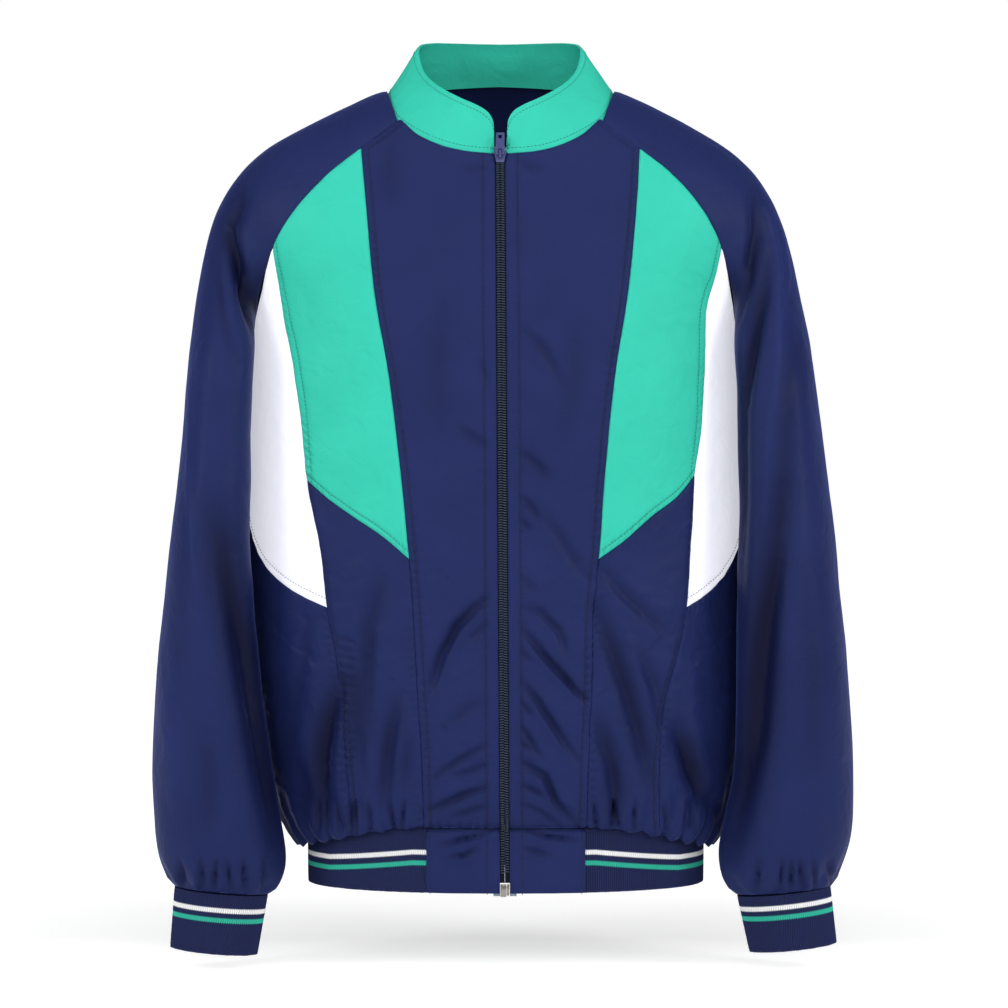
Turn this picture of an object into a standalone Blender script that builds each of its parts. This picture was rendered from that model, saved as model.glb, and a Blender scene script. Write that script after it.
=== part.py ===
"""A zip-front bomber jacket, filled out as it is when worn, with nobody in it.

Everything is built from the tables below, in millimetres, and scaled to metres when a mesh is made. X runs to
the wearer's left, -Y is the front and +Z is up. The origin is where a wearer's neck holds the jacket up: in the
middle of the neck opening, level with its two side points.

The body is a stack of oval sections. A place on it is (angle, level): the angle is 0 at the middle of the front,
90 at the wearer's left side, -90 at the right side and 180 at the middle of the back. The sleeves are stacks of
ovals below the underarm and arches from seam to seam above it. Every panel is a wall that stops 0.15 mm short of
its seams, so that neighbours stay 0.3 mm apart.
"""

import math

import bmesh
import bpy
import numpy as np

MM = 0.001
CLOTH = 1.2  # woven cloth with its hidden turnings
RIB_CLOTH = 2.2
COLLAR_CLOTH = 2.0
SEAM_GAP = 0.15  # from each panel's edge to the seam line
SQUARENESS = 2.3  # 2 would make the body's sections plain ovals
SIDES = {"right": -1, "left": 1}

HEM_SEAM = -611.0
HEM_FOOT = -664.0
UNDERARM = -213.0
BAND_HALF = 65.5  # from the zip to where the rib begins
ZIP_HALF = 3.9  # from the middle of the coil to each front edge
PLACKET = 15.0  # the cloth lies flat over this width beside the zip

# ------------------------------------------------------------------ tables


def table(columns, rows):
    """A dictionary of columns from rows of numbers, so that the tables below read like tables."""
    names = columns.split()
    return {name: np.array([row[i] for row in rows], float) for i, name in enumerate(names)}


# The body's sections. "drop" lowers a section's sides, which makes the cloth hang over the rib there.
BODY = table(
    "level middle half front back drop",
    [
        (-664, 1.5, 169, 121, 112, 0),
        (-611, 1.5, 170, 123, 114, 0),
        (-606, 1.5, 175, 127, 121, -28),
        (-597, 1.5, 184, 131, 128, -24),
        (-583, 1.0, 191, 134, 133, -16),
        (-555, 0.0, 196, 136, 137, -6),
        (-520, -1.5, 200, 137, 139, 0),
        (-450, -5.0, 204, 134, 137, 0),
        (-350, -7.0, 206, 130, 133, 0),
        (-260, -7.0, 206, 127, 131, 0),
        (-213, -7.0, 206, 124, 129, 0),
        (-170, -6.0, 209, 121, 127, 0),
        (-134, -5.5, 227, 117, 125, 0),
        (-107, -5.0, 236, 112, 122, 0),
        (-75, -5.5, 222, 103, 116, 0),
        (-50, -6.0, 201, 91, 109, 0),
        (-25, -4.5, 161, 76, 101, 0),
        (0, -3.5, 96, 60, 91, 0),
        (19, -3.5, 84, 45, 77, 0),
        (30, -3.5, 80, 40, 66, 0),
    ],
)

# Seams of the fronts, as they are seen from the front: x and z on the wearer's right and left.
LONG_SEAM = table(
    "level right left",
    [
        (-611, -65.5, 67.5),
        (-547, -67.3, 69.0),
        (-500, -70.5, 71.5),
        (-437, -74.0, 73.0),
        (-391, -77.5, 77.5),
        (-324, -84.0, 82.5),
        (-244, -94.0, 90.5),
        (-168, -107.0, 102.5),
        (-95, -114.0, 109.5),
        (-51, -118.3, 112.5),
    ],
)
SIDE_SEAM_FRONT = table(
    "level right left",
    [
        (-611, -124.0, 128.0),
        (-560, -128.5, 127.5),
        (-516, -132.0, 130.5),
        (-466, -139.0, 143.0),
        (-431, -145.5, 150.5),
        (-382, -151.0, 154.5),
        (-326, -163.0, 157.5),
        (-284, -167.0, 163.5),
        (-232, -175.0, 167.0),
        (-192, -183.0, 167.5),
        (-158, -188.5, 176.0),
        (-134, -192.0, 181.0),
    ],
)
# Lower edges of the chest and side panels: "along" runs from the long seam out to the panel's corner.
CHEST_FOOT = table(
    "along right left",
    [
        (0, -391, -391),
        (0.25, -373, -377),
        (0.55, -356, -356),
        (0.8, -341, -341),
        (1, -326, -322),
    ],
)
SIDE_FOOT = table(
    "along right left",
    [
        (0, -431, -431),
        (0.3, -415, -414),
        (0.6, -390, -388),
        (0.85, -352, -360),
        (1, -338, -345),
    ],
)
# The raglan seam over the front and the back, from the neck to the underarm.
RAGLAN_FRONT = table(
    "along level right left",
    [
        (0, -25, -86.5, 80.0),
        (0.16, -51, -118.3, 112.5),
        (0.36, -76, -149.5, 143.0),
        (0.52, -106, -176.0, 167.0),
        (0.66, -134, -192.0, 181.0),
        (0.84, -176, -205.5, 191.5),
        (1, -213, -213.2, 199.2),
    ],
)
RAGLAN_BACK = table(
    "along level right left",
    [
        (0, 17, -58.0, 51.0),
        (0.16, -20, -92.0, 84.0),
        (0.36, -62, -128.0, 120.0),
        (0.52, -100, -158.0, 150.0),
        (0.66, -134, -180.0, 171.0),
        (0.84, -178, -202.0, 188.0),
        (1, -213, -213.2, 199.2),
    ],
)
# The shoulder and the outer arm down to the underarm's level, as seen from the front.
TOP_LINE = table(
    "along z right left y",
    [
        (0, 2, -94, 89, 2),
        (0.1, -13, -141, 133, 2),
        (0.2, -27, -170, 160, 0),
        (0.32, -46, -203, 191, -3),
        (0.44, -72, -229, 216, -6),
        (0.58, -106, -246, 234, -9),
        (0.74, -148, -256, 246, -12),
        (0.88, -184, -261.5, 253, -15),
        (1, -213, -264.5, 258.5, -17),
    ],
)
# The front neckline: its x as a share of the way from the zip to the raglan seam.
NECK_EDGE = table("x level", [(0, -57.0), (0.22, -55.5), (0.52, -50.5), (0.8, -40.0), (1, -25.0)])
ZIP_X = {"top": -3.2, "foot": 0.8}

# The sleeves' ovals below the underarm, by their innermost, foremost, outermost and hindmost points.
# "rise" tips an oval: how much higher its outer side is, in mm for each mm of width.
SLEEVE = {
    "right": table(
        "level inner inner_y outer outer_y front_x front back_x back rise",
        [
            (-213, -206, -80, -264.5, -17, -234, -103, -240, 72, 0.0),
            (-258, -208, -84, -268.0, -18, -240, -108, -244, 74, 0.0),
            (-300, -209.5, -84, -272.0, -20, -243, -111, -247, 72, 0.0),
            (-360, -209.5, -86, -278.5, -24, -246, -117, -250, 66, 0.0),
            (-420, -206.5, -88, -285.0, -28, -247, -123, -252, 56, 0.0),
            (-500, -199, -84, -292.0, -34, -246, -124, -250, 40, 0.01),
            (-560, -191, -78, -294.0, -42, -242, -122, -246, 24, 0.03),
            (-605, -184, -70, -292.5, -50, -239, -118, -242, 8, 0.05),
            (-632, -180, -66, -290.0, -54, -236, -113, -238, -4, 0.07),
            (-648, -181, -65, -286.0, -56, -235, -108, -237, -12, 0.08),
            (-658, -187, -63, -280.0, -57, -235, -101, -237, -20, 0.09),
            (-667, -195, -62, -275.5, -58, -236, -92, -238, -28, 0.09),
        ],
    ),
    "left": table(
        "level inner inner_y outer outer_y front_x front back_x back rise",
        [
            (-213, 189, -82, 258.5, -17, 224, -105, 234, 72, 0.0),
            (-258, 192, -84, 264.0, -18, 229, -110, 238, 74, 0.0),
            (-300, 193, -84, 269.0, -20, 233, -113, 242, 72, 0.0),
            (-360, 193.5, -86, 276.5, -24, 238, -119, 246, 66, 0.0),
            (-420, 191.5, -88, 282.5, -28, 241, -124, 248, 56, 0.0),
            (-500, 190.5, -84, 289.5, -34, 242, -125, 248, 40, 0.01),
            (-560, 190, -80, 292.5, -42, 239, -122, 245, 24, 0.03),
            (-605, 181, -70, 292.0, -50, 237, -118, 241, 8, 0.05),
            (-632, 176, -66, 289.0, -54, 234, -113, 237, -4, 0.07),
            (-648, 178, -65, 283.0, -56, 232, -108, 235, -12, 0.08),
            (-658, 183, -63, 277.5, -57, 232, -101, 235, -20, 0.09),
            (-667, 192, -62, 274.0, -58, 233, -92, 235, -28, 0.09),
        ],
    ),
}
# Cuff ovals at the top and the foot: middle, half width, half depth, and rise across the width.
CUFF = {
    "right": table(
        "level x y half_x half_y rise",
        [
            (-667.8, -235.5, -60, 38.5, 32.0, 0.09),
            (-717.0, -241.5, -62, 36.0, 30.5, 0.09),
        ],
    ),
    "left": table(
        "level x y half_x half_y rise",
        [
            (-667.8, 233.0, -60, 38.5, 32.0, 0.11),
            (-714.0, 240.5, -62, 36.0, 30.5, 0.11),
        ],
    ),
}
# The collar's top edge against the turn round the neck, 0 at the front end and 1 at the middle of the back; its
# first rows are the rounded corner. x is measured from the zip.
COLLAR_TOP = table(
    "turn x y z",
    [
        (0, 4.4, -86, -38),
        (0.012, 4.9, -84, -31),
        (0.03, 7.5, -82, -24.5),
        (0.055, 12.0, -80, -19.5),
        (0.09, 19.5, -78, -15),
        (0.14, 32.0, -73, -9),
        (0.2, 43.3, -64, -2.4),
        (0.27, 53.1, -52, 5),
        (0.35, 61.3, -37, 14),
        (0.45, 67.1, -20, 26),
        (0.56, 70.5, -1, 40.5),
        (0.68, 68.0, 26, 48),
        (0.8, 52.0, 46, 52),
        (0.9, 28.0, 59, 53),
        (1, 0.0, 64, 53),
    ],
)
COLLAR_CORNER_TURNS = [0, 0.012, 0.03, 0.055, 0.09, 0.14, 0.2]  # close together round the corner
COLLAR_TURNS = COLLAR_CORNER_TURNS + [0.27 + 0.07 * k for k in range(10)] + [1.0]
COLLAR_RISES = (0.0, 0.3, 0.65, 1.0)
NECK_GAP = 0.8  # from the neckline up to the collar's foot
CORNER_TURN = 0.1  # the rounded corner takes up this much of the turn
COLLAR_FOOT = 0.8  # how far the collar's ends stand back from the front edges
COLLAR_FRONT = {"right": 0.0, "left": 1.6}  # and how much further on each side

# The largest folds of the cloth, as polylines seen from the front (x, z) with a width and a depth; a ridge has a
# depth below 0. The back has a few of the same kind.
FOLDS_FRONT = [
    ("sleeve_right", [(-233, -133), (-222, -165), (-205, -215)], 9, 9),
    ("sleeve_right", [(-216, -90), (-218, -140), (-224, -200)], 9, -2),
    ("sleeve_right", [(-214, -385), (-222, -450), (-215, -530)], 14, 6),
    ("sleeve_right", [(-225, -560), (-232, -600), (-236, -640)], 11, 4),
    ("sleeve_left", [(207, -85), (203, -150), (188, -212)], 9, 9),
    ("sleeve_left", [(224, -95), (231, -190), (220, -280), (216, -350)], 8, -4),
    ("sleeve_left", [(200, -225), (198, -330), (202, -420)], 11, 6),
    ("sleeve_left", [(222, -380), (212, -470), (206, -560)], 15, 7),
    ("body", [(77, -435), (98, -490), (112, -555)], 11, 7),
    ("body", [(20, -455), (42, -480), (62, -503)], 10, 4),
    ("body", [(18, -495), (40, -530), (58, -555)], 10, 5),
    ("body", [(18, -560), (36, -580), (50, -602)], 9, 4),
    ("body", [(145, -545), (160, -590)], 10, 6),
    ("body", [(80, -530), (86, -598)], 8, 4),
    ("body", [(-14, -425), (-34, -445), (-50, -477)], 10, 4),
    ("body", [(-123, -425), (-120, -470), (-121, -512)], 10, 4),
    ("body", [(-139, -512), (-146, -535), (-143, -565)], 12, 8),
    ("body", [(-98, -472), (-104, -528)], 11, 5),
    ("body", [(-72, -530), (-84, -560), (-88, -598)], 9, 5),
    ("body", [(-35, -582), (-57, -596)], 8, 3),
]
FOLDS_BACK = [
    ("body", [(-150, -250), (-120, -330), (-112, -420)], 16, 6),
    ("body", [(146, -255), (122, -340), (108, -440)], 16, 6),
    ("body", [(-60, -480), (-52, -590)], 12, 6),
    ("body", [(10, -500), (4, -596)], 12, 5),
    ("body", [(76, -470), (84, -592)], 12, 6),
    ("sleeve_right", [(-262, -220), (-268, -330)], 12, 3),
    ("sleeve_right", [(-250, -480), (-240, -600)], 13, 5),
    ("sleeve_left", [(256, -225), (263, -340)], 12, 3),
    ("sleeve_left", [(246, -470), (236, -600)], 13, 5),
]
# Gathers, where the full cloth is drawn into a rib: how many go round, how deep, and how far up they fade.
HEM_GATHERS = {"count": 44, "depth": 3.4, "reach": 46.0}
CUFF_GATHERS = {"count": 16, "depth": 3.2, "reach": 34.0}
HEM_RIBS = 150  # about every third rib of the knit
CUFF_RIBS = 56
RIB_HEIGHT = 0.5
RIB_INSET = 1.8  # the hem rib stands this far inside the seam, under the cloth that hangs over it

# ------------------------------------------------------------------ curves and sections


def smooth(xs, ys):
    """A function through the points (xs, ys) that bends softly and never overshoots them."""
    order = np.argsort(xs)
    xs, ys = np.asarray(xs, float)[order], np.asarray(ys, float)[order]
    step = np.diff(xs)
    slope = np.diff(ys) / step
    bend = np.zeros(len(xs))
    bend[0], bend[-1] = slope[0], slope[-1]
    for i in range(1, len(xs) - 1):
        if slope[i - 1] * slope[i] > 0:
            near, far = 2 * step[i] + step[i - 1], step[i] + 2 * step[i - 1]
            bend[i] = (near + far) / (near / slope[i - 1] + far / slope[i])

    def at(x):
        x = np.clip(x, xs[0], xs[-1])
        i = np.clip(np.searchsorted(xs, x) - 1, 0, len(step) - 1)
        t = (x - xs[i]) / step[i]
        h = step[i]
        return (
            ys[i] * (1 + 2 * t) * (1 - t) ** 2
            + ys[i + 1] * t * t * (3 - 2 * t)
            + h * bend[i] * t * (1 - t) ** 2
            - h * bend[i + 1] * t * t * (1 - t)
        )

    return at


def columns(rows, key):
    """Every column of a table as a smooth function of its key column."""
    return {name: smooth(rows[key], rows[name]) for name in rows if name != key}


BODY_AT = columns(BODY, "level")
LONG_SEAM_AT = columns(LONG_SEAM, "level")
SIDE_SEAM_AT = columns(SIDE_SEAM_FRONT, "level")
CHEST_FOOT_AT = columns(CHEST_FOOT, "along")
SIDE_FOOT_AT = columns(SIDE_FOOT, "along")
RAGLAN_AT = {"front": columns(RAGLAN_FRONT, "along"), "back": columns(RAGLAN_BACK, "along")}
TOP_AT = columns(TOP_LINE, "along")
NECK_AT = columns(NECK_EDGE, "x")
COLLAR_AT = columns(COLLAR_TOP, "turn")
SLEEVE_AT = {side: columns(rows, "level") for side, rows in SLEEVE.items()}


def body_point(angle, level, out=0.0):
    """The body's outer face at an angle in degrees, moved out from its section's middle by some millimetres."""
    turn = math.radians(angle)
    across, along = math.sin(turn), math.cos(turn)
    power = 2 / SQUARENESS
    half = BODY_AT["half"](level) + out
    deep = (BODY_AT["front"](level) if along > 0 else BODY_AT["back"](level)) + out
    x = BODY_AT["middle"](level) + half * math.copysign(abs(across) ** power, across)
    y = -deep * math.copysign(abs(along) ** power, along)
    return np.array([x, y, level + BODY_AT["drop"](level) * across * across])


def body_normal(angle, level):
    if 0 < abs(angle) < 180:
        step_angle = min(1.0, abs(angle) / 2, (180 - abs(angle)) / 2)
    else:
        step_angle = 1.0
    low, high = max(level - 2, HEM_FOOT), min(level + 2, 30)
    along = body_point(angle + step_angle, level) - body_point(angle - step_angle, level)
    up = body_point(angle, high) - body_point(angle, low)
    normal = np.cross(along, up)
    return normal / np.linalg.norm(normal)


def angle_at(x, level, back=False):
    """The angle at which the body's section at a level reaches x."""
    share = (x - BODY_AT["middle"](level)) / BODY_AT["half"](level)
    turn = math.degrees(math.asin(min(1.0, abs(share)) ** (SQUARENESS / 2)))
    return math.copysign(180 - turn if back else turn, share)


QUARTER_POINTS = 24  # in each quarter of a sleeve's section
SLEEVE_FULLNESS = 0.58  # how far each quarter runs straight on from its ends; an ellipse has 0.55
INNER_BACK_FULLNESS = 0.2  # the quarter behind the arm lies flatter


def oval(side, level):
    """A sleeve's section, round from the underarm seam by the front, the outside and the back."""
    row = {name: at(level) for name, at in SLEEVE_AT[side].items()}
    inner = np.array([row["inner"], row["inner_y"]])
    front = np.array([row["front_x"], row["front"]])
    outer = np.array([row["outer"], row["outer_y"]])
    back = np.array([row["back_x"], row["back"]])
    # Each quarter: its ends, the way it leaves the first, and its fullness.
    quarters = [
        (inner, front, (0, 1), SLEEVE_FULLNESS),
        (front, outer, (1, 0), SLEEVE_FULLNESS),
        (outer, back, (0, 1), SLEEVE_FULLNESS),
        (back, inner, (1, 0), INNER_BACK_FULLNESS),
    ]
    points = []
    for start, end, way, full in quarters:
        way = np.array(way)
        leave = start + full * (end - start) * way
        arrive = end - full * (end - start) * (1 - way)
        for t in np.linspace(0, 1, QUARTER_POINTS + 1)[:-1]:
            near = (1 - t) ** 3 * start + 3 * (1 - t) ** 2 * t * leave
            far = 3 * (1 - t) * t * t * arrive + t**3 * end
            points.append(near + far)
    points = np.array(points)
    last_quarter = 3 * QUARTER_POINTS
    seam = last_quarter + int(np.argmin(np.abs(points[last_quarter:, 1])))
    points = np.roll(points, -seam, axis=0)
    points = np.vstack([points, points[:1]])
    middle = (row["inner"] + row["outer"]) / 2
    z = level + row["rise"] * (points[:, 0] - middle) * SIDES[side]
    return np.column_stack([points, z])


def along_path(points, count, bend=0.0):
    """count + 1 points spread evenly along a path, or closer where it turns if bend is above 0."""
    points = np.asarray(points)
    pieces = np.diff(points, axis=0)
    lengths = np.linalg.norm(pieces, axis=1)
    directions = pieces / np.maximum(lengths, 1e-9)[:, None]
    turns = np.arccos(np.clip((directions[1:] * directions[:-1]).sum(axis=1), -1, 1))
    turns = np.concatenate([[turns[0]], (turns[1:] + turns[:-1]) / 2, [turns[-1]]])
    run = np.concatenate([[0], np.cumsum(lengths / lengths.sum() + bend * turns / math.pi)])
    spots = np.linspace(0, run[-1], count + 1)
    return np.column_stack([np.interp(spots, run, points[:, i]) for i in range(3)])


def raglan_point(side, face, along):
    level = RAGLAN_AT[face]["level"](along)
    angle = angle_at(RAGLAN_AT[face][side](along), level, face == "back")
    return body_point(angle, level), angle, level


def top_point(side, along):
    return np.array([TOP_AT[side](along), TOP_AT["y"](along), TOP_AT["z"](along)])


ARCH_BULGE = 1.15  # how strongly an arch keeps on in the direction it starts with
LEAST_TURN = 0.62  # from this share of the raglan seam on, the arches turn into the tube's own section
TURN_POWER = 1.2
CURVE_POINTS = 33


def arch(side, face, along, count):
    """Half of a sleeve's arch above the underarm: from the raglan seam to the top line."""
    start, angle, level = raglan_point(side, face, along)
    end = top_point(side, along)
    normal = body_normal(angle, level)
    chord = end - start
    leave = chord - normal * np.dot(chord, normal)
    leave *= np.linalg.norm(chord) / np.linalg.norm(leave)
    ahead = top_point(side, min(along + 0.02, 1)) - top_point(side, max(along - 0.02, 0))
    ahead /= np.linalg.norm(ahead)
    arrive = np.array([0, 1.0 if face == "front" else -1.0, 0])
    arrive -= ahead * np.dot(arrive, ahead)
    arrive *= np.linalg.norm(chord) / np.linalg.norm(arrive)
    t = np.linspace(0, 1, CURVE_POINTS)[:, None]
    straight = start + t * chord
    curve = (
        start * (1 + 2 * t) * (1 - t) ** 2
        + end * t * t * (3 - 2 * t)
        + leave * ARCH_BULGE * t * (1 - t) ** 2
        - arrive * ARCH_BULGE * t * t * (1 - t)
    )
    bulge = curve - straight
    below = half_oval(side, face, UNDERARM)
    below_bulge = below - (below[0] + t * (below[-1] - below[0]))
    share = np.clip((along - LEAST_TURN) / (1 - LEAST_TURN), 0, 1) ** TURN_POWER
    return along_path(straight + (1 - share) * bulge + share * below_bulge, count, TIP_BEND)


def half_oval(side, face, level):
    ring = oval(side, level)
    outermost = int(np.argmax(np.abs(ring[:, 0])))
    half = ring[: outermost + 1] if face == "front" else ring[outermost:][::-1]
    return along_path(half, CURVE_POINTS - 1)


# ------------------------------------------------------------------ folds and gathers


def distance_to(points, path):
    """How far each (x, z) point is from a polyline, and how near its ends, as a share of its length."""
    path = np.array(path, float)
    lengths = np.linalg.norm(np.diff(path, axis=0), axis=1)
    starts = np.concatenate([[0], np.cumsum(lengths)])
    best = np.full(len(points), 1e9)
    place = np.zeros(len(points))
    for i, length in enumerate(lengths):
        direction = (path[i + 1] - path[i]) / length
        t = np.clip((points - path[i]) @ direction, 0, length)
        gap = np.linalg.norm(points - path[i] - t[:, None] * direction, axis=1)
        nearer = gap < best
        best[nearer] = gap[nearer]
        place[nearer] = (starts[i] + t[nearer]) / starts[-1]
    return best, place


FOLD_FACING = 1.6  # a fold keeps its full depth until its surface has turned well away from its face
FOLD_TAPER = 0.7  # below 1, a fold keeps its depth longer before it runs out at its ends


def fold_depths(points, normals, part):
    """How far the folds push each outer point in."""
    depth = np.zeros(len(points))
    for folds, facing in ((FOLDS_FRONT, -normals[:, 1]), (FOLDS_BACK, normals[:, 1])):
        weight = np.clip(facing * FOLD_FACING, 0, 1)
        for owner, path, width, deep in folds:
            if owner != part:
                continue
            gap, place = distance_to(points[:, [0, 2]], path)
            taper = np.sin(np.pi * (0.1 + 0.8 * place)) ** FOLD_TAPER
            depth += weight * deep * taper * np.exp(-((gap / width) ** 2))
    return depth


GATHER_ROOT = 7.0  # at the seam itself gathers are pressed flat, and they stand fully this far above it
GATHER_FADE = 1.3
FLAT_ROOT = 0.15  # how deep they still are at the seam
SWAYS, SWAY_START = 5, 1.3  # how often their depth rises and falls on the way round, and where that begins


def gather(share, height, gathers):
    """The in and out of gathered cloth at a share of the way round, some height above the rib's seam."""
    rise = np.clip(1 - height / gathers["reach"], 0, 1) ** GATHER_FADE
    root = FLAT_ROOT + (1 - FLAT_ROOT) * np.clip(height / GATHER_ROOT, 0, 1)
    wave = math.cos(2 * math.pi * gathers["count"] * share)
    sway = 0.75 + 0.25 * math.cos(2 * math.pi * share * SWAYS + SWAY_START)
    return gathers["depth"] * wave * sway * rise * root


# ------------------------------------------------------------------ making walls


def stitch(bm, first, second):
    """Joins two rows of (share, vertex), which may hold different numbers of them, with triangles."""
    i = j = 0
    while i < len(first) - 1 or j < len(second) - 1:
        if j == len(second) - 1 or i == len(first) - 1:
            forward = j == len(second) - 1
        elif abs(first[i + 1][0] - second[j + 1][0]) < 1e-6:
            one = (first[i + 1][1].co - second[j][1].co).length
            forward = one < (first[i][1].co - second[j + 1][1].co).length
        else:
            forward = first[i + 1][0] < second[j + 1][0]
        if forward:
            corners = [first[i][1], first[i + 1][1], second[j][1]]
            i += 1
        else:
            corners = [first[i][1], second[j + 1][1], second[j][1]]
            j += 1
        if len(set(corners)) == 3:
            bm.faces.new(corners)


def finish(name, bm, material):
    bmesh.ops.recalc_face_normals(bm, faces=bm.faces)
    if bm.calc_volume(signed=True) < 0:
        bmesh.ops.reverse_faces(bm, faces=bm.faces)
    mesh = bpy.data.meshes.new(name)
    bm.to_mesh(mesh)
    bm.free()
    mesh.materials.append(material)
    mesh.shade_smooth()
    mesh.set_sharp_from_angle(angle=math.radians(40))
    obj = bpy.data.objects.new(name, mesh)
    bpy.context.scene.collection.objects.link(obj)
    return obj


def wall(name, outer, inner, material, closed=False):
    """A closed wall from rows of outer and inner points. A row is (shares, points, closed or not)."""
    bm = bmesh.new()

    def rows_of(rows):
        made = []
        for shares, points, ring in rows:
            verts = [bm.verts.new(point * MM) for point in (points[:-1] if ring else points)]
            if ring:
                verts.append(verts[0])
            made.append(list(zip(shares, verts)))
        return made

    outside, inside = rows_of(outer), rows_of(inner)
    for rows in (outside, inside):
        for first, second in zip(rows, rows[1:]):
            stitch(bm, first, second)
    stitch(bm, outside[0], inside[0])
    stitch(bm, outside[-1], inside[-1])
    for end in (0, -1):
        for k in range(len(outer) - 1):
            if outer[k][2] and outer[k + 1][2]:
                continue
            a, b = outside[k][end][1], outside[k + 1][end][1]
            c, d = inside[k][end][1], inside[k + 1][end][1]
            bm.faces.new([a, b, d, c])
    return finish(name, bm, material)


def unit(vectors):
    return vectors / np.maximum(np.linalg.norm(vectors, axis=-1, keepdims=True), 1e-9)


def draw_in(grid):
    """Moves the edges of a grid of points in from the seam lines by SEAM_GAP, and its corners from both."""
    grid = [np.array(row) for row in grid]
    moved = [row.copy() for row in grid]
    last = len(grid) - 1

    def neighbour(row, share, rows_on):
        other = grid[row + rows_on]
        return np.array([np.interp(share, np.linspace(0, 1, len(other)), other[:, i]) for i in range(3)])

    for k, row in enumerate(grid):
        shares = np.linspace(0, 1, len(row))
        for j, point in enumerate(row):
            across = along = None
            if j in (0, len(row) - 1):
                across = unit(row[1] - point if j == 0 else row[-2] - point)
            if k in (0, last):
                along = unit(neighbour(k, shares[j], 1 if k == 0 else -1) - point)
            if across is not None and along is not None:
                corner = max(0.2, math.sqrt(max(0.0, 1 - np.dot(across, along) ** 2)))
                moved[k][j] = point + (across + along) * SEAM_GAP / corner
            elif across is not None:
                a = grid[max(k - 1, 0)][j if j == 0 else -1]
                b = grid[min(k + 1, last)][j if j == 0 else -1]
                edge = unit(b - a)
                moved[k][j] = point + SEAM_GAP * unit(across - edge * np.dot(across, edge))
            elif along is not None:
                edge = unit(row[j + 1] - row[j - 1])
                moved[k][j] = point + SEAM_GAP * unit(along - edge * np.dot(along, edge))
    return moved


GATHERS_FROM = 24.0  # degrees from the middle of the front: the cloth over the woven bands isn't gathered
CALM_HEIGHT = 8.0  # the body's relief grows over this height above the hem seam


def body_panel(name, spots, material):
    """A panel on the body from rows of (angle, level) places, each row from one edge to the other."""
    base = [np.array([body_point(*spot) for spot in row]) for row in spots]
    normals = [np.array([body_normal(*spot) for spot in row]) for row in spots]
    placed = []
    for row, points, ups in zip(spots, base, normals):
        push = -fold_depths(points, ups, "body")
        for j, (angle, level) in enumerate(row):
            if abs(angle) > GATHERS_FROM:
                push[j] += gather(angle / 360, level - HEM_SEAM, HEM_GATHERS)
        heights = np.array([level - HEM_SEAM for _, level in row])
        beside_zip = np.hypot(points[:, 0], np.maximum(points[:, 1], 0)) - PLACKET
        push *= np.clip(heights / CALM_HEIGHT, 0, 1) * np.clip(beside_zip / PLACKET, 0, 1)
        placed.append(points + ups * push[:, None])
    edged = draw_in(placed)
    outer, inner = [], []
    for k, (row, points, ups) in enumerate(zip(spots, edged, normals)):
        if row[0][1] < OVERHANG_TOP:
            ups = overhang_normals(row, placed, k)
        shares = np.linspace(0, 1, len(points))
        outer.append((shares, points, False))
        inner.append((shares, points - ups * CLOTH, False))
    return wall(name, outer, inner, material)


def overhang_normals(row, grid, k):
    """Outward directions where the cloth doubles back over the rib, longer at its fold so that the wall keeps its
    thickness on both sides of it."""
    shares = np.linspace(0, 1, len(row))

    def at(other):
        spread = np.linspace(0, 1, len(other))
        return np.column_stack([np.interp(shares, spread, other[:, i]) for i in range(3)])

    along = [body_point(angle + 0.5, level) - body_point(angle - 0.5, level) for angle, level in row]
    above = unit(np.cross(along, at(grid[k + 1]) - grid[k]))
    below = unit(np.cross(along, grid[k] - at(grid[k - 1]))) if k else above
    middle = unit(above + below)
    return middle / np.maximum(0.4, (middle * above).sum(axis=1))[:, None]


# ------------------------------------------------------------------ panels

HEM_LEVELS = [-611.0, -604.5, -597.0, -584.0, -562.0]
OVERHANG_TOP = -584.0  # below this the cloth hangs over the rib
LOWER_ROWS = 4  # from the gathers up to the white panel's tip
MIDDLE_ROWS = 3  # from there to the chest panel's corner
UPPER_ROWS = 5  # from there to the raglan seam
YOKE_ROWS = 4  # from the chest panel's top to the neck
CENTRE_COLUMNS = 6
CHEST_COLUMNS = 5
SIDE_COLUMNS = 4
BACK_COLUMNS = 26
LOWEST_NECK = -57.0
YOKE_SHARE, CHEST_SHARE = 0.16, 0.66  # where the chest and side panels begin along the raglan seam

RAGLAN_SHARES = (
    [0.012]
    + [YOKE_SHARE * k / YOKE_ROWS for k in range(1, YOKE_ROWS)]
    + [YOKE_SHARE + (CHEST_SHARE - YOKE_SHARE) * k / CHEST_COLUMNS for k in range(CHEST_COLUMNS)]
    + [CHEST_SHARE + (1 - CHEST_SHARE) * k / SIDE_COLUMNS for k in range(SIDE_COLUMNS + 1)]
)


def steps(bottom, top, count):
    """count levels from just above one level up to another."""
    return [bottom + (top - bottom) * k / count for k in range(1, count + 1)]


def place(x, level):
    return (angle_at(x, level), level)


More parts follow.
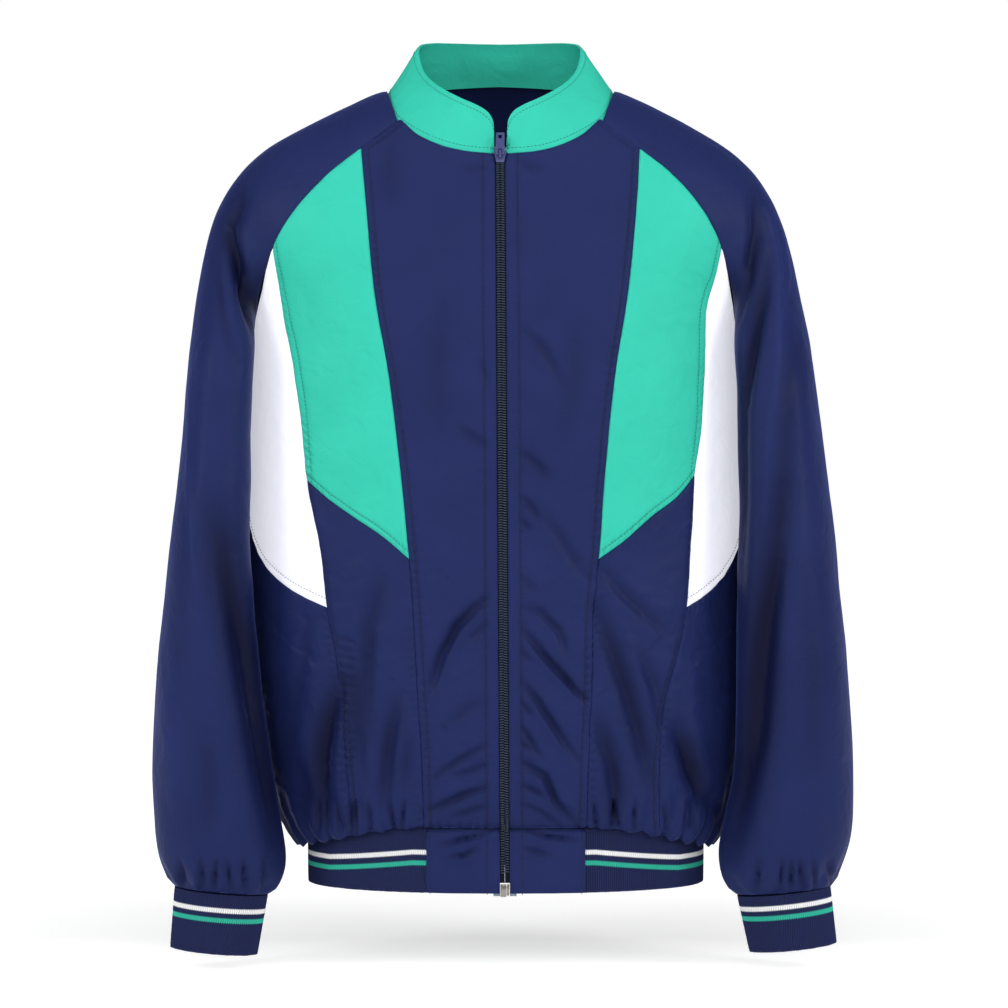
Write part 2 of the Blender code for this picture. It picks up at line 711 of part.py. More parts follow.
def edge_places(side):
    """The places of the front's upright seams from the hem seam up, as many on each as its neighbours need."""
    tip, corner = SIDE_FOOT_AT[side](0.0), CHEST_FOOT_AT[side](1.0)
    apex, top = CHEST_FOOT_AT[side](0.0), LONG_SEAM["level"][-1]
    crown = SIDE_SEAM_FRONT["level"][-1]
    levels = HEM_LEVELS + steps(HEM_LEVELS[-1], tip, LOWER_ROWS)
    levels += steps(tip, corner, MIDDLE_ROWS) + steps(corner, crown, UPPER_ROWS)
    side_front = [place(SIDE_SEAM_AT[side](z), z) for z in levels]
    levels = HEM_LEVELS + steps(HEM_LEVELS[-1], apex, LOWER_ROWS + MIDDLE_ROWS) + steps(apex, top, UPPER_ROWS)
    long_seam = [place(LONG_SEAM_AT[side](z), z) for z in levels]
    foot = SIDE_FOOT_AT[side](1.0)
    levels = HEM_LEVELS + steps(HEM_LEVELS[-1], foot, LOWER_ROWS)
    levels += steps(foot, UNDERARM, MIDDLE_ROWS + UPPER_ROWS)
    side_seam = [(90.0 * SIDES[side], z) for z in levels]
    return long_seam, side_front, side_seam


def between(first, second, count):
    """count + 1 places spread evenly from one place to another."""
    first, second = np.array(first), np.array(second)
    return [tuple(first + (second - first) * k / count) for k in range(count + 1)]


def filled(left, right, bottom, top):
    """Rows of places between four edges: a patch whose inside follows all of them."""
    left, right, bottom, top = (np.array(edge) for edge in (left, right, bottom, top))
    rows, width = [], len(bottom) - 1
    for k in range(len(left)):
        t = (left[k][1] - left[0][1]) / (left[-1][1] - left[0][1])
        row = []
        for j in range(width + 1):
            s = j / width
            flat = left[k] * (1 - s) + right[k] * s
            tall = bottom[j] * (1 - t) + top[j] * t
            corners = (left[0] * (1 - s) + right[0] * s) * (1 - t) + (left[-1] * (1 - s) + right[-1] * s) * t
            row.append(tuple(flat + tall - corners))
        rows.append(row)
    return rows


def filled_flat(left, right, bottom, top):
    """The same, worked out as seen from the front, which keeps slanted edges straight."""

    def flat(places):
        return [(body_point(*spot)[0], spot[1]) for spot in places]

    rows = filled(flat(left), flat(right), flat(bottom), flat(top))
    rows = [[place(*spot) for spot in row] for row in rows]
    rows[0], rows[-1] = list(bottom), list(top)
    for k, row in enumerate(rows):
        row[0], row[-1] = left[k], right[k]
    return rows


def finer(row, times):
    """The same row of places with each step cut into several."""
    made = [row[0]]
    for first, second in zip(row, row[1:]):
        made += between(first, second, times)[1:]
    return made


def gathered(rows, times):
    """Cuts the columns of the rows in the gathers finer."""
    return [finer(row, times) if 0 < k < len(HEM_LEVELS) - 1 else row for k, row in enumerate(rows)]


def raglan_places(side, face, shares):
    return [raglan_point(side, face, share)[1:] for share in shares]


def zip_middle(z):
    """The zip leans a little: its x at a height."""
    return ZIP_X["top"] + (ZIP_X["foot"] - ZIP_X["top"]) * (z - LOWEST_NECK) / (HEM_FOOT - LOWEST_NECK)


def zip_edge(side, z):
    return zip_middle(z) + SIDES[side] * ZIP_HALF


def neck_x(side, level):
    """The front neckline's x at a level, from the zip edge up to the raglan seam."""
    start, end = zip_edge(side, LOWEST_NECK), raglan_point(side, "front", 0.0)[0][0]
    shares = np.linspace(0, 1, 65)
    return start + (end - start) * np.interp(level, NECK_AT["level"](shares), shares)


YOKE_COLUMN_WIDTH = 12.5  # above the chest panel, where the centre front narrows


def front_rows(side):
    """Rows of places of the centre front: level with the long seam's points, then up the yoke to the neck."""
    long_seam = edge_places(side)[0]
    yoke = [raglan_point(side, "front", share)[1:] for share in RAGLAN_SHARES[YOKE_ROWS - 1 :: -1]]
    rows = []
    for outer in [*long_seam, *yoke]:
        level = outer[1]
        edge = zip_edge(side, level) if level < LOWEST_NECK else neck_x(side, level)
        far = body_point(*outer)[0]
        count = CENTRE_COLUMNS
        if level > long_seam[-1][1]:
            count = max(1, round(abs(far - edge) / YOKE_COLUMN_WIDTH))
        row = [place(edge + (far - edge) * k / count, level) for k in range(count + 1)]
        row[-1] = outer
        rows.append(row)
    far = LONG_SEAM_AT[side](LOWEST_NECK)
    low_xs = np.linspace(zip_edge(side, LOWEST_NECK), far, CENTRE_COLUMNS + 1)
    rows.insert(len(long_seam) - 1, [place(x, LOWEST_NECK) for x in low_xs])
    return rows


def front_panels(side, cloth):
    long_seam, side_front, side_seam = edge_places(side)
    apex = len(HEM_LEVELS) - 1 + LOWER_ROWS + MIDDLE_ROWS
    tip = len(HEM_LEVELS) - 1 + LOWER_ROWS
    raglan = raglan_places(side, "front", RAGLAN_SHARES)
    body_panel(f"front_centre_{side}", front_rows(side), cloth["navy"])

    foot_of_chest = []
    start, end = body_point(*long_seam[apex])[0], body_point(*side_front[apex])[0]
    for share in np.linspace(0, 1, CHEST_COLUMNS + 1):
        foot_of_chest.append(place(start + (end - start) * share, CHEST_FOOT_AT[side](share)))
    foot_of_chest[0], foot_of_chest[-1] = long_seam[apex], side_front[apex]
    raglan_chest = raglan[YOKE_ROWS : YOKE_ROWS + CHEST_COLUMNS + 1]
    raglan_chest[0], raglan_chest[-1] = long_seam[-1], side_front[-1]
    chest = filled_flat(long_seam[apex:], side_front[apex:], foot_of_chest, raglan_chest)
    body_panel(f"chest_panel_{side}", chest, cloth["green"])
    foot = between(long_seam[0], side_front[0], CHEST_COLUMNS)
    lower = filled_flat(long_seam[: apex + 1], side_front[: apex + 1], foot, foot_of_chest)
    body_panel(f"lower_front_{side}", gathered(lower, 3), cloth["navy"])

    foot_of_side = []
    for share in np.linspace(0, 1, SIDE_COLUMNS + 1):
        angle = side_front[tip][0] + (side_seam[tip][0] - side_front[tip][0]) * share
        foot_of_side.append((angle, SIDE_FOOT_AT[side](share)))
    raglan_side = raglan[YOKE_ROWS + CHEST_COLUMNS :]
    raglan_side[0], raglan_side[-1] = side_front[-1], side_seam[-1]
    upper = filled(side_front[tip:], side_seam[tip:], foot_of_side, raglan_side)
    body_panel(f"side_panel_{side}", upper, cloth["white"])
    foot = between(side_front[0], side_seam[0], SIDE_COLUMNS)
    lower = filled(side_front[: tip + 1], side_seam[: tip + 1], foot, foot_of_side)
    body_panel(f"lower_side_{side}", gathered(lower, 4), cloth["navy"])


def back_panel(cloth):
    levels = [level for _, level in edge_places("left")[2]]
    rows = []
    for k, level in enumerate(levels):
        right_level = edge_places("right")[2][k][1]
        rows.append(between((90.0, level), (270.0, right_level), BACK_COLUMNS))
    shares = RAGLAN_SHARES[-2::-1]
    for left, right in zip(raglan_places("left", "back", shares), raglan_places("right", "back", shares)):
        count = max(8, round(BACK_COLUMNS * (360 - 2 * left[0]) / 180))
        rows.append(between(left, (right[0] + 360, right[1]), count))
    body_panel("back", gathered(rows, 3), cloth["navy"])


# ------------------------------------------------------------------ sleeves

ARCH_COLUMNS = [4, 4, 5, 5, 6, 7, 8, 9, 10, 11, 11, 12, 12]  # in each half of an arch, from the neck down
TUBE_LEVELS = [-213, -232, -260, -300, -345, -390, -440, -490, -540, -582, -612, -632, -645, -655, -662, -667]
GATHER_TIMES = 3  # how much finer the sleeve's rings are in the gathers
CUFF_GATHER_TOP = -620.0
CLEAR_FROM = 0.7  # the share of the raglan seam from which a sleeve could touch the body's side
CLEAR_GROWTH = 15.0  # how far from its seam a sleeve reaches its full distance from the body
CUFF_CALM = 6.0  # the sleeve's relief grows over this height above the cuff
SEAM_PULL = 12.0  # how far from the underarm point the first ring is drawn to it
UNDERARM_GAP = 0.6
SLEEVE_CLEAR = 3.5  # between a sleeve and the body's side under the arm
TIP_BEND = 0.6  # how much closer the points stand round a sleeve's foremost and hindmost lines


def sleeve_rows(side):
    """Rows of outer points: arches from the neck to the underarm, then rings down to the cuff."""
    rows = []
    for share, count in zip(RAGLAN_SHARES[:-1], ARCH_COLUMNS):
        front = arch(side, "front", share, count)
        back = arch(side, "back", share, count)
        if share > CLEAR_FROM:
            front, back = stand_clear(side, front), stand_clear(side, back)
        rows.append((np.vstack([front, back[::-1][1:]]), False, None))
    for level in TUBE_LEVELS:
        count = ARCH_COLUMNS[-1] * (GATHER_TIMES if level < CUFF_GATHER_TOP else 1)
        ring = oval(side, level)
        if level == UNDERARM:
            ring = seamed_ring(side, ring)
        outermost = int(np.argmax(np.abs(ring[:, 0])))
        front = stand_clear(side, along_path(ring[: outermost + 1], count, TIP_BEND))
        back = stand_clear(side, along_path(ring[outermost:], count, TIP_BEND)[::-1])[::-1]
        rows.append((np.vstack([front, back[1:]]), True, level))
    return rows


def stand_clear(side, points):
    """Moves a sleeve's points out until they are clear of the body's side, but for the first, on the seam."""
    points = points.copy()
    sign = SIDES[side]
    for point in points[1:]:
        level = point[2]
        deep = BODY_AT["front"](level) if point[1] < 0 else BODY_AT["back"](level)
        if abs(point[1]) < deep:
            share = (1 - (abs(point[1]) / deep) ** SQUARENESS) ** (1 / SQUARENESS)
            edge = sign * BODY_AT["middle"](level) + BODY_AT["half"](level) * share
            need = SLEEVE_CLEAR * min(1.0, np.linalg.norm(point - points[0]) / CLEAR_GROWTH)
            point[0] = sign * max(sign * point[0], edge + need)
    return points


def seamed_ring(side, ring):
    """The first ring, moved near the seam so that it starts at the body's underarm point."""
    point = raglan_point(side, "front", 1.0)[0]
    shift = point - ring[0]
    weight = np.exp(-((np.linalg.norm(ring - ring[0], axis=1) / SEAM_PULL) ** 2))
    return ring + weight[:, None] * shift


def row_normals(rows):
    """Outward directions at each row's points, from the rows beside it."""
    normals = []
    for k, (points, ring, _) in enumerate(rows):
        count = len(points)
        shares = np.linspace(0, 1, count)
        near = []
        for other in (rows[max(k - 1, 0)][0], rows[min(k + 1, len(rows) - 1)][0]):
            spread = np.linspace(0, 1, len(other))
            near.append(np.column_stack([np.interp(shares, spread, other[:, i]) for i in range(3)]))
        down = near[1] - near[0]
        if ring:
            loop = np.vstack([points[-2:-1], points, points[1:2]])
            along = loop[2:] - loop[:-2]
        else:
            along = np.gradient(points, axis=0)
        normal = unit(np.cross(down, along))
        normals.append(normal)
    return normals


def sleeve(side, cloth):
    rows = sleeve_rows(side)
    normals = row_normals(rows)
    outward = SIDES[side]
    outer, inner = [], []
    for (points, ring, level), ups in zip(rows, normals):
        top = int(np.argmax(points[:, 0] * outward))
        if ups[top][0] * outward < 0:
            ups = -ups
        push = -fold_depths(points, ups, f"sleeve_{side}")
        shares = np.linspace(0, 1, len(points))
        if level is not None:
            height = level - TUBE_LEVELS[-1]
            push += [gather(share, height, CUFF_GATHERS) for share in shares]
            push *= np.clip(height / CUFF_CALM, 0, 1)
            push[0] = push[-1] = push[0] if level < UNDERARM else 0
        else:
            edge = np.minimum(shares, 1 - shares) * len(points)
            push *= np.clip(edge / 2, 0, 1)
        moved = points + ups * push[:, None]
        outer.append([shares, moved, ring])
        inner.append([shares, moved - ups * CLOTH, ring])
    seam_in(outward, outer, inner)
    return wall(f"sleeve_{side}", outer, inner, cloth["navy"])


def seam_in(sign, outer, inner):
    """Draws the sleeve's raglan and neck edges in from their seam lines."""
    first_beside_side = len(RAGLAN_SHARES) - SIDE_COLUMNS - 1
    for rows in (outer, inner):
        lines = [row[1].copy() for row in rows]
        for k, (shares, points, ring) in enumerate(rows):
            if ring:
                if not rows[k - 1][2]:
                    points[0] = lines[k][0] + unit(lines[k + 1][0] - lines[k][0]) * SEAM_GAP * 2
                    points[0][0] += sign * UNDERARM_GAP
                    points[-1] = points[0]
                continue
            above, below = lines[max(k - 1, 0)], lines[k + 1]
            for end, step in ((0, 1), (-1, -2)):
                across = unit(lines[k][step] - lines[k][end])
                edge = unit(below[end] - above[end])
                points[end] = lines[k][end] + SEAM_GAP * unit(across - edge * np.dot(across, edge))
                # Near the underarm the sleeve doubles back over the panel, so it also stands out from it.
                points[end][0] += sign * UNDERARM_GAP * max(0.0, k - first_beside_side) / SIDE_COLUMNS
        first, second = lines[0], lines[1]
        spread = np.linspace(0, 1, len(second))
        for j in range(len(first)):
            target = np.array([np.interp(rows[0][0][j], spread, second[:, i]) for i in range(3)])
            rows[0][1][j] += SEAM_GAP * unit(target - first[j])


CUFF_INNER_POINTS = 36


def ribbed_tube(name, rows, material):
    """A ring of knit: raised ribs outside and a plain wall inside."""
    outer, inner = [], []
    faces = (outer, CUFF_RIBS * 2, 0.0, RIB_HEIGHT), (inner, CUFF_INNER_POINTS, -RIB_CLOTH, 0.0)
    for centre, half_x, half_y, rise in rows:
        for made, count, out, lift in faces:
            points = []
            for k in range(count + 1):
                turn = 2 * math.pi * (k % count) / count
                reach = out + (lift if k % 2 == 0 else 0.0)
                x = (half_x + reach) * math.sin(turn)
                y = -(half_y + reach) * math.cos(turn)
                points.append(centre + np.array([x, y, rise * x]))
            made.append((np.linspace(0, 1, count + 1), np.array(points), True))
    return wall(name, outer, inner, material)


def cuff(side, cloth):
    rows = []
    for values in zip(*CUFF[side].values()):
        row = dict(zip(CUFF[side], values))
        centre = np.array([row["x"], row["y"], row["level"]])
        rows.append((centre, row["half_x"], row["half_y"], row["rise"] * SIDES[side]))
    return ribbed_tube(f"cuff_{side}", rows, cloth["rib"])


# ------------------------------------------------------------------ hem, collar


BAND_LEVELS = (HEM_SEAM - 0.8, -638.0, HEM_FOOT)
BAND_LIFT = 0.4  # the band lies this far proud of the rib's own line
BAND_COLUMNS = 6
RIB_TOP = HEM_SEAM - 0.5
HEM_MIDDLE = 1.5  # the x of the hem's middle
BAND_GAP = 0.06  # degrees, from each end of the rib to the seam with its band


def hem_rib(cloth):
    start = angle_at(HEM_MIDDLE + BAND_HALF, HEM_SEAM) + BAND_GAP
    end = 360 + angle_at(HEM_MIDDLE - BAND_HALF, HEM_SEAM) - BAND_GAP
    outer, inner = [], []
    for level in (RIB_TOP, HEM_FOOT):
        faces = (outer, HEM_RIBS * 2, -RIB_INSET, RIB_HEIGHT), (inner, HEM_RIBS, -RIB_INSET - RIB_CLOTH, 0.0)
        for made, count, out, lift in faces:
            points = []
            for k in range(count + 1):
                angle = start + (end - start) * k / count
                points.append(body_point(angle, level, out + (lift if k % 2 else 0.0)))
            made.append((np.linspace(0, 1, count + 1), np.array(points), False))
    return wall("hem_rib", outer, inner, cloth["rib"])


def hem_band(side, cloth):
    sign = SIDES[side]
    outer, inner = [], []
    for level in BAND_LEVELS:
        first = angle_at(zip_edge(side, level) + sign * SEAM_GAP, level)
        last = angle_at(HEM_MIDDLE + sign * BAND_HALF, HEM_SEAM) - sign * BAND_GAP
        shares = np.linspace(0, 1, BAND_COLUMNS + 1)
        for made, out in ((outer, BAND_LIFT), (inner, -RIB_CLOTH)):
            points = np.array([body_point(first + (last - first) * share, level, out) for share in shares])
            made.append((shares, points, False))
    return wall(f"hem_band_{side}", outer, inner, cloth["navy"])


def neck_ring(side):
    """The neckline on one side, from the zip edge round to the middle of the back."""
    rows = front_rows(side)
    first = len(edge_places(side)[0]) - 1
    front = np.array([body_point(*row[0]) for row in rows[first:]])
    begin = RAGLAN_SHARES[0]
    over = [arch(side, "front", begin, 4), arch(side, "back", begin, 4)[::-1]]
    angle, level = raglan_point(side, "back", begin)[1:]
    middle = math.copysign(180, angle)
    back = np.array([body_point(angle + (middle - angle) * k / 4, level) for k in range(1, 5)])
    return np.vstack([front, over[0][1:], over[1][1:], back])


def at_shares(path, shares):
    """The points at some shares of a path's length."""
    run = np.concatenate([[0], np.cumsum(np.linalg.norm(np.diff(path, axis=0), axis=1))])
    return np.column_stack([np.interp(np.array(shares) * run[-1], run, path[:, i]) for i in range(3)])


def collar(cloth):
    """A band that stands on the neckline, from one front end round the back to the other."""
    halves = {}
    for side, sign in SIDES.items():
        feet = at_shares(neck_ring(side), COLLAR_TURNS)
        feet[:, 2] += NECK_GAP
        feet[0, 0] += sign * (COLLAR_FOOT + COLLAR_FRONT[side])
        tops = []
        for turn in COLLAR_TURNS:
            x = COLLAR_AT["x"](turn) + COLLAR_FRONT[side] * max(0.0, 1 - turn / CORNER_TURN)
            tops.append([zip_middle(0) + sign * x, COLLAR_AT["y"](turn), COLLAR_AT["z"](turn)])
        halves[side] = feet, np.array(tops)
    feet = np.vstack([halves["right"][0], halves["left"][0][::-1][1:]])
    tops = np.vstack([halves["right"][1], halves["left"][1][::-1][1:]])
    shares = np.linspace(0, 1, len(feet))
    ups = unit(np.cross(tops - feet, np.gradient(feet + tops, axis=0)))
    outer = [(shares, feet + (tops - feet) * rise, False) for rise in COLLAR_RISES]
    inner = [(shares, points - ups * COLLAR_CLOTH, False) for _, points, _ in outer]
    return wall("collar", outer, inner, cloth["green"])


# ------------------------------------------------------------------ zip

ZIP_TOP = -57.6
ZIP_FOOT = -655.5
TAPE_WIDTH = 12.0
COIL_HALF = 3.5
HEM_SINK = -1.6  # how much deeper the tape lies behind the hem's doubled band; the coil lies half as much
COIL_BACK = -1.5  # points of the section further back than this belong to the tape
# The section of a tape with its half of the coil: how far from the middle, and how far in front of the cloth.
ZIP_SECTION = [
    (0.15, -0.6),
    (0.15, -2.3),
    (COIL_HALF, -2.4),
    (TAPE_WIDTH, -2.9),
    (TAPE_WIDTH, -2.1),
    (COIL_HALF, -1.8),
    (COIL_HALF - 0.15, -0.7),
    (2.4, 0.5),
    (1.2, 0.5),
]


def zip_levels():
    """The levels of the rows that the cloth beside the zip is made from, from the hem's foot up."""
    return [*BAND_LEVELS[::-1], *[row[0][1] for row in front_rows("left") if row[0][1] <= LOWEST_NECK]]


def zip_frame(z):
    """A point on the front beside the zip, at a height, and the directions up and out of the cloth there."""
    levels = zip_levels()
    k = int(np.clip(np.searchsorted(levels, z), 1, len(levels) - 1))
    low, high = levels[k - 1], levels[k]
    slope = (BODY_AT["front"](high) - BODY_AT["front"](low)) / (high - low)
    up = unit(np.array([0.0, -slope, 1.0]))
    out = np.array([0.0, -up[2], up[1]])
    return np.array([zip_middle(z), -BODY_AT["front"](low) - slope * (z - low), z]), up, out


def zip_half(side, cloth):
    """A tape behind the front's edge with its half of the coil, as one long section."""
    sign = SIDES[side]
    levels = [ZIP_FOOT, *[level for level in zip_levels() if ZIP_FOOT < level < ZIP_TOP], ZIP_TOP]
    bm = bmesh.new()
    rings = []
    for z in levels:
        middle, _, out = zip_frame(z)
        sink = HEM_SINK if z < HEM_SEAM else 0.0
        ring = []
        for across, lift in ZIP_SECTION:
            shift = sink if across > COIL_HALF or lift < COIL_BACK else sink / 2
            point = middle + np.array([sign * across, 0, 0]) + out * (lift + shift)
            ring.append(bm.verts.new(point * MM))
        rings.append(ring)
    for first, second in zip(rings, rings[1:]):
        for i in range(len(ZIP_SECTION)):
            j = (i + 1) % len(ZIP_SECTION)
            bm.faces.new([first[i], first[j], second[j], second[i]])
    bm.faces.new(rings[0])
    bm.faces.new(rings[-1])
    bmesh.ops.triangulate(bm, faces=bm.faces[:])
    return finish(f"zip_half_{side}", bm, cloth["coil"])


# The metal at the zip's ends, in its own directions: across to the wearer's left, up along the zip, and out.
SLIDER_AT = -59.5  # the height of the middle of the slider's crown
SLIDER_OUTLINE = [(3.2, -6.4), (4.6, 0.5), (5.5, 4.0), (5.2, 6.2), (3.6, 7.4)]  # right half, from the foot up
PLATE = (0.8, 2.4)  # the front plate's back and face, out from the cloth
BACK_PLATE = (-4.9, -3.6)
POST = (1.6, 3.4, 6.4)  # half width, foot and top of the post that joins the plates above the coil
CROWN = [
    (-3.6, 2.1),
    (-3.6, 5.1),
    (-2.6, 6.3),
    (2.6, 6.3),
    (3.6, 5.1),
    (3.6, 2.1),
    (2.4, 2.1),
    (2.4, 5.2),
    (-2.4, 5.2),
    (-2.4, 2.1),
]
CROWN_HALF = 0.9
SUNK = 0.4  # how far the post runs into each plate
TAB_AXIS = 4.2  # out from the cloth
TAB_X = [-3.6, -2.9, -1.5, 1.5, 2.9, 3.6]
TAB_UP = [-0.55, 0.55, 4.6, 13.8, 16.8, 18.8]
TAB_HALF = 0.55
# Which cells of the tab's grid hold metal, from its lower bar up; the others are its two windows.
TAB_CELLS = ["#####", "##.##", "#####", "##.##", "#####"]


def local_point(frame, across, up, out):
    middle, upward, outward = frame
    return middle + np.array([across, 0, 0]) + upward * up + outward * out


def slab(name, cells, xs, ups, low, high, frame, material):
    """A plate built on a grid, with a hole at each cell that isn't marked."""
    bm = bmesh.new()
    full = {(i, j) for j, line in enumerate(cells) for i, mark in enumerate(line) if mark == "#"}
    used = {(i + a, j + b) for i, j in full for a in (0, 1) for b in (0, 1)}
    face = {}
    for out in (low, high):
        for i, j in used:
            face[i, j, out] = bm.verts.new(local_point(frame, xs[i], ups[j], out) * MM)
    for i, j in full:
        corners = [(i, j), (i + 1, j), (i + 1, j + 1), (i, j + 1)]
        bm.faces.new([face[*corner, high] for corner in corners])
        bm.faces.new([face[*corner, low] for corner in corners[::-1]])
        sides = [(i, j - 1), (i + 1, j), (i, j + 1), (i - 1, j)]
        for k, beside in enumerate(sides):
            if beside not in full:
                a, b = corners[k], corners[(k + 1) % 4]
                bm.faces.new([face[*a, low], face[*b, low], face[*b, high], face[*a, high]])
    return finish(name, bm, material)


def prism(name, outline, place_of, low, high, material):
    """A straight prism: place_of turns a corner of the outline and a distance into a point."""
    bm = bmesh.new()
    ends = [[bm.verts.new(place_of(*corner, out) * MM) for corner in outline] for out in (low, high)]
    for k in range(len(outline)):
        j = (k + 1) % len(outline)
        bm.faces.new([ends[0][k], ends[0][j], ends[1][j], ends[1][k]])
    for end in ends:
        bm.faces.new(end)
    return finish(name, bm, material)


def zip_slider(cloth):
    """Two plates joined above the coil by a post, with a raised crown on the front for the pull tab."""
    frame = zip_frame(SLIDER_AT)
    outline = [*SLIDER_OUTLINE, *[(-x, up) for x, up in SLIDER_OUTLINE[::-1]]]

    def flat(x, up, out):
        return local_point(frame, x, up, out)

    def upright(up, out, across):
        return local_point(frame, across, up, out)

    half, foot, top = POST
    post = [(half, foot), (half, top), (-half, top), (-half, foot)]
    slider = prism("zip_slider", outline, flat, *PLATE, cloth["paint"])
    rest = [
        prism("post", post, flat, BACK_PLATE[0] + SUNK, PLATE[1] - SUNK, cloth["paint"]),
        prism("back_plate", outline, flat, *BACK_PLATE, cloth["paint"]),
        prism("crown", CROWN, upright, -CROWN_HALF, CROWN_HALF, cloth["paint"]),
    ]
    for other in rest:
        join = slider.modifiers.new(other.name, "BOOLEAN")
        join.operation, join.object, join.solver = "UNION", other, "EXACT"
    graph = bpy.context.evaluated_depsgraph_get()
    joined = bpy.data.meshes.new_from_object(slider.evaluated_get(graph))
    slider.modifiers.clear()
    slider.data = joined
    for other in rest:
        bpy.data.objects.remove(other, do_unlink=True)


def zip_pull(cloth):
    """The tab, turned up from the crown as it hangs in the photo's pose, with its bar through the crown."""
    middle, up, out = zip_frame(SLIDER_AT)
    hinge = middle + out * TAB_AXIS
    frame = np.zeros(3), up, out
    tab = slab("zip_pull", TAB_CELLS, TAB_X, TAB_UP, -TAB_HALF, TAB_HALF, frame, cloth["paint"])
    tab.location = hinge * MM


# The pieces at the zip's foot: their reach across, up from the hem's foot, and out from the cloth.
ZIP_BOX = {"xs": [-3.7, 1.3], "ups": [-2.5, 7.5], "outs": (-2.2, 1.4)}
ZIP_PIN = {"xs": [1.6, 3.6], "ups": [-1.5, 7.8], "outs": (-1.6, 0.8)}
TAPE_FILM = {"xs": [4.0, 9.5], "ups": [-2.4, 7.5], "outs": (-3.3, -3.0)}


def zip_foot(cloth):
    """The box on one tape, the pin on the other, and the film that stiffens each tape's end."""
    frame = zip_frame(HEM_FOOT)
    pieces = [("zip_box", ZIP_BOX, 1, "metal"), ("zip_pin", ZIP_PIN, 1, "metal")]
    pieces += [(f"tape_film_{side}", TAPE_FILM, sign, "film") for side, sign in SIDES.items()]
    for name, sizes, sign, finish_name in pieces:
        xs = sorted(sign * x for x in sizes["xs"])
        slab(name, ["#"], xs, sizes["ups"], *sizes["outs"], frame, cloth[finish_name])


def main_materials():
    def material(name, colour, rough, metal=0.0):
        made = bpy.data.materials.new(name)
        made.use_nodes = True
        shader = made.node_tree.nodes["Principled BSDF"]
        shader.inputs["Base Color"].default_value = (*[(c / 255) ** 2.2 for c in colour], 1)
        shader.inputs["Roughness"].default_value = rough
        shader.inputs["Metallic"].default_value = metal
        return made

    return {
        "navy": material("navy cloth", (46, 54, 100), 0.55),
        "green": material("green cloth", (66, 208, 184), 0.55),
        "white": material("white cloth", (246, 246, 250), 0.6),
        "rib": material("navy rib knit", (36, 43, 74), 0.85),
        "coil": material("zip coil and tape", (30, 38, 52), 0.5),
        "paint": material("painted zip metal", (70, 76, 130), 0.35, 0.6),
        "metal": material("bright zip metal", (190, 192, 196), 0.3, 1.0),
        "film": material("clear tape film", (190, 220, 235), 0.2),
    }


def main():
    for obj in list(bpy.data.objects):
        bpy.data.objects.remove(obj, do_unlink=True)
    cloth = main_materials()
    for side in SIDES:
        front_panels(side, cloth)
        sleeve(side, cloth)
        cuff(side, cloth)
        hem_band(side, cloth)
        zip_half(side, cloth)
    back_panel(cloth)
    hem_rib(cloth)
    collar(cloth)
    zip_slider(cloth)
    zip_pull(cloth)
    zip_foot(cloth)


main()
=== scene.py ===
# %% [markdown]
# # A zip-front bomber jacket, filled out as it is when worn
# A cut-and-sewn jacket is a set of flat panels that seams turn into a hollow form. The frame already
# holds every panel as a plain wall. This file dresses each one: a finer sheet on the same form with its
# creases, gathers and stitching, the ribs of the knit, the turns of the zip's coil, and a material for
# each cloth and metal.

# %% Load the frame
import math

import bmesh
import bpy
import numpy as np
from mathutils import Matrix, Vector, noise


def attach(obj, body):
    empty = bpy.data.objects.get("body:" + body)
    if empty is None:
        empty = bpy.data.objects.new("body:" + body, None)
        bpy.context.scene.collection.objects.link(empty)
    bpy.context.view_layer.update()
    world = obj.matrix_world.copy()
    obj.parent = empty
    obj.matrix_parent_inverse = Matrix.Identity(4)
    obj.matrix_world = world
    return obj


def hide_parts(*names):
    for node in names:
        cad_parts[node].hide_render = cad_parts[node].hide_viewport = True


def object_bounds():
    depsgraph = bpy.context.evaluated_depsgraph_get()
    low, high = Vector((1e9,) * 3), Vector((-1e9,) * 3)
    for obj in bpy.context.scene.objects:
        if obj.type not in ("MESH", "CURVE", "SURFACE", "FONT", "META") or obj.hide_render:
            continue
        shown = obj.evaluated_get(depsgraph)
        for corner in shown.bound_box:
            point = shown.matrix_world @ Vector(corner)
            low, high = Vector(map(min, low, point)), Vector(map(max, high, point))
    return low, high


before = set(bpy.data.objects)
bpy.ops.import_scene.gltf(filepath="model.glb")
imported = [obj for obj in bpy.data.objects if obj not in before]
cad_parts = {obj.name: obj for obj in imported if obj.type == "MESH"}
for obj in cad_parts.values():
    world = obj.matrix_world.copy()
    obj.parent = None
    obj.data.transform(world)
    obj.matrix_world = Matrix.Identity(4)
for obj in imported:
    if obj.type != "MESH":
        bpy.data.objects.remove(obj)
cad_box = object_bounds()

MM = 0.001
SIDES = {"right": -1, "left": 1}

# %% [markdown]
# ## The camera
# A long lens from three metres keeps the jacket's outline nearly flat, as a product photo does. It stands
# square to the front, level with the lower ribs, and the image's side over the lens's field sets the
# scale.

# %% Camera
CAMERA_AWAY = 3.0
CAMERA_HEIGHT = -0.346
PIXELS_PER_METRE_AT_ONE_METRE = 3529.4
IMAGE_SIDE = 1008

camera_data = bpy.data.cameras.new("camera")
camera_data.sensor_width = 36.0
camera_data.lens = 36.0 * PIXELS_PER_METRE_AT_ONE_METRE / IMAGE_SIDE
camera = bpy.data.objects.new("camera", camera_data)
camera.location = (0.0, -CAMERA_AWAY, CAMERA_HEIGHT)
camera.rotation_euler = (math.radians(90), 0.0, 0.0)
bpy.context.scene.collection.objects.link(camera)
bpy.context.scene.camera = camera
print("lens:", round(camera_data.lens, 1), "mm")


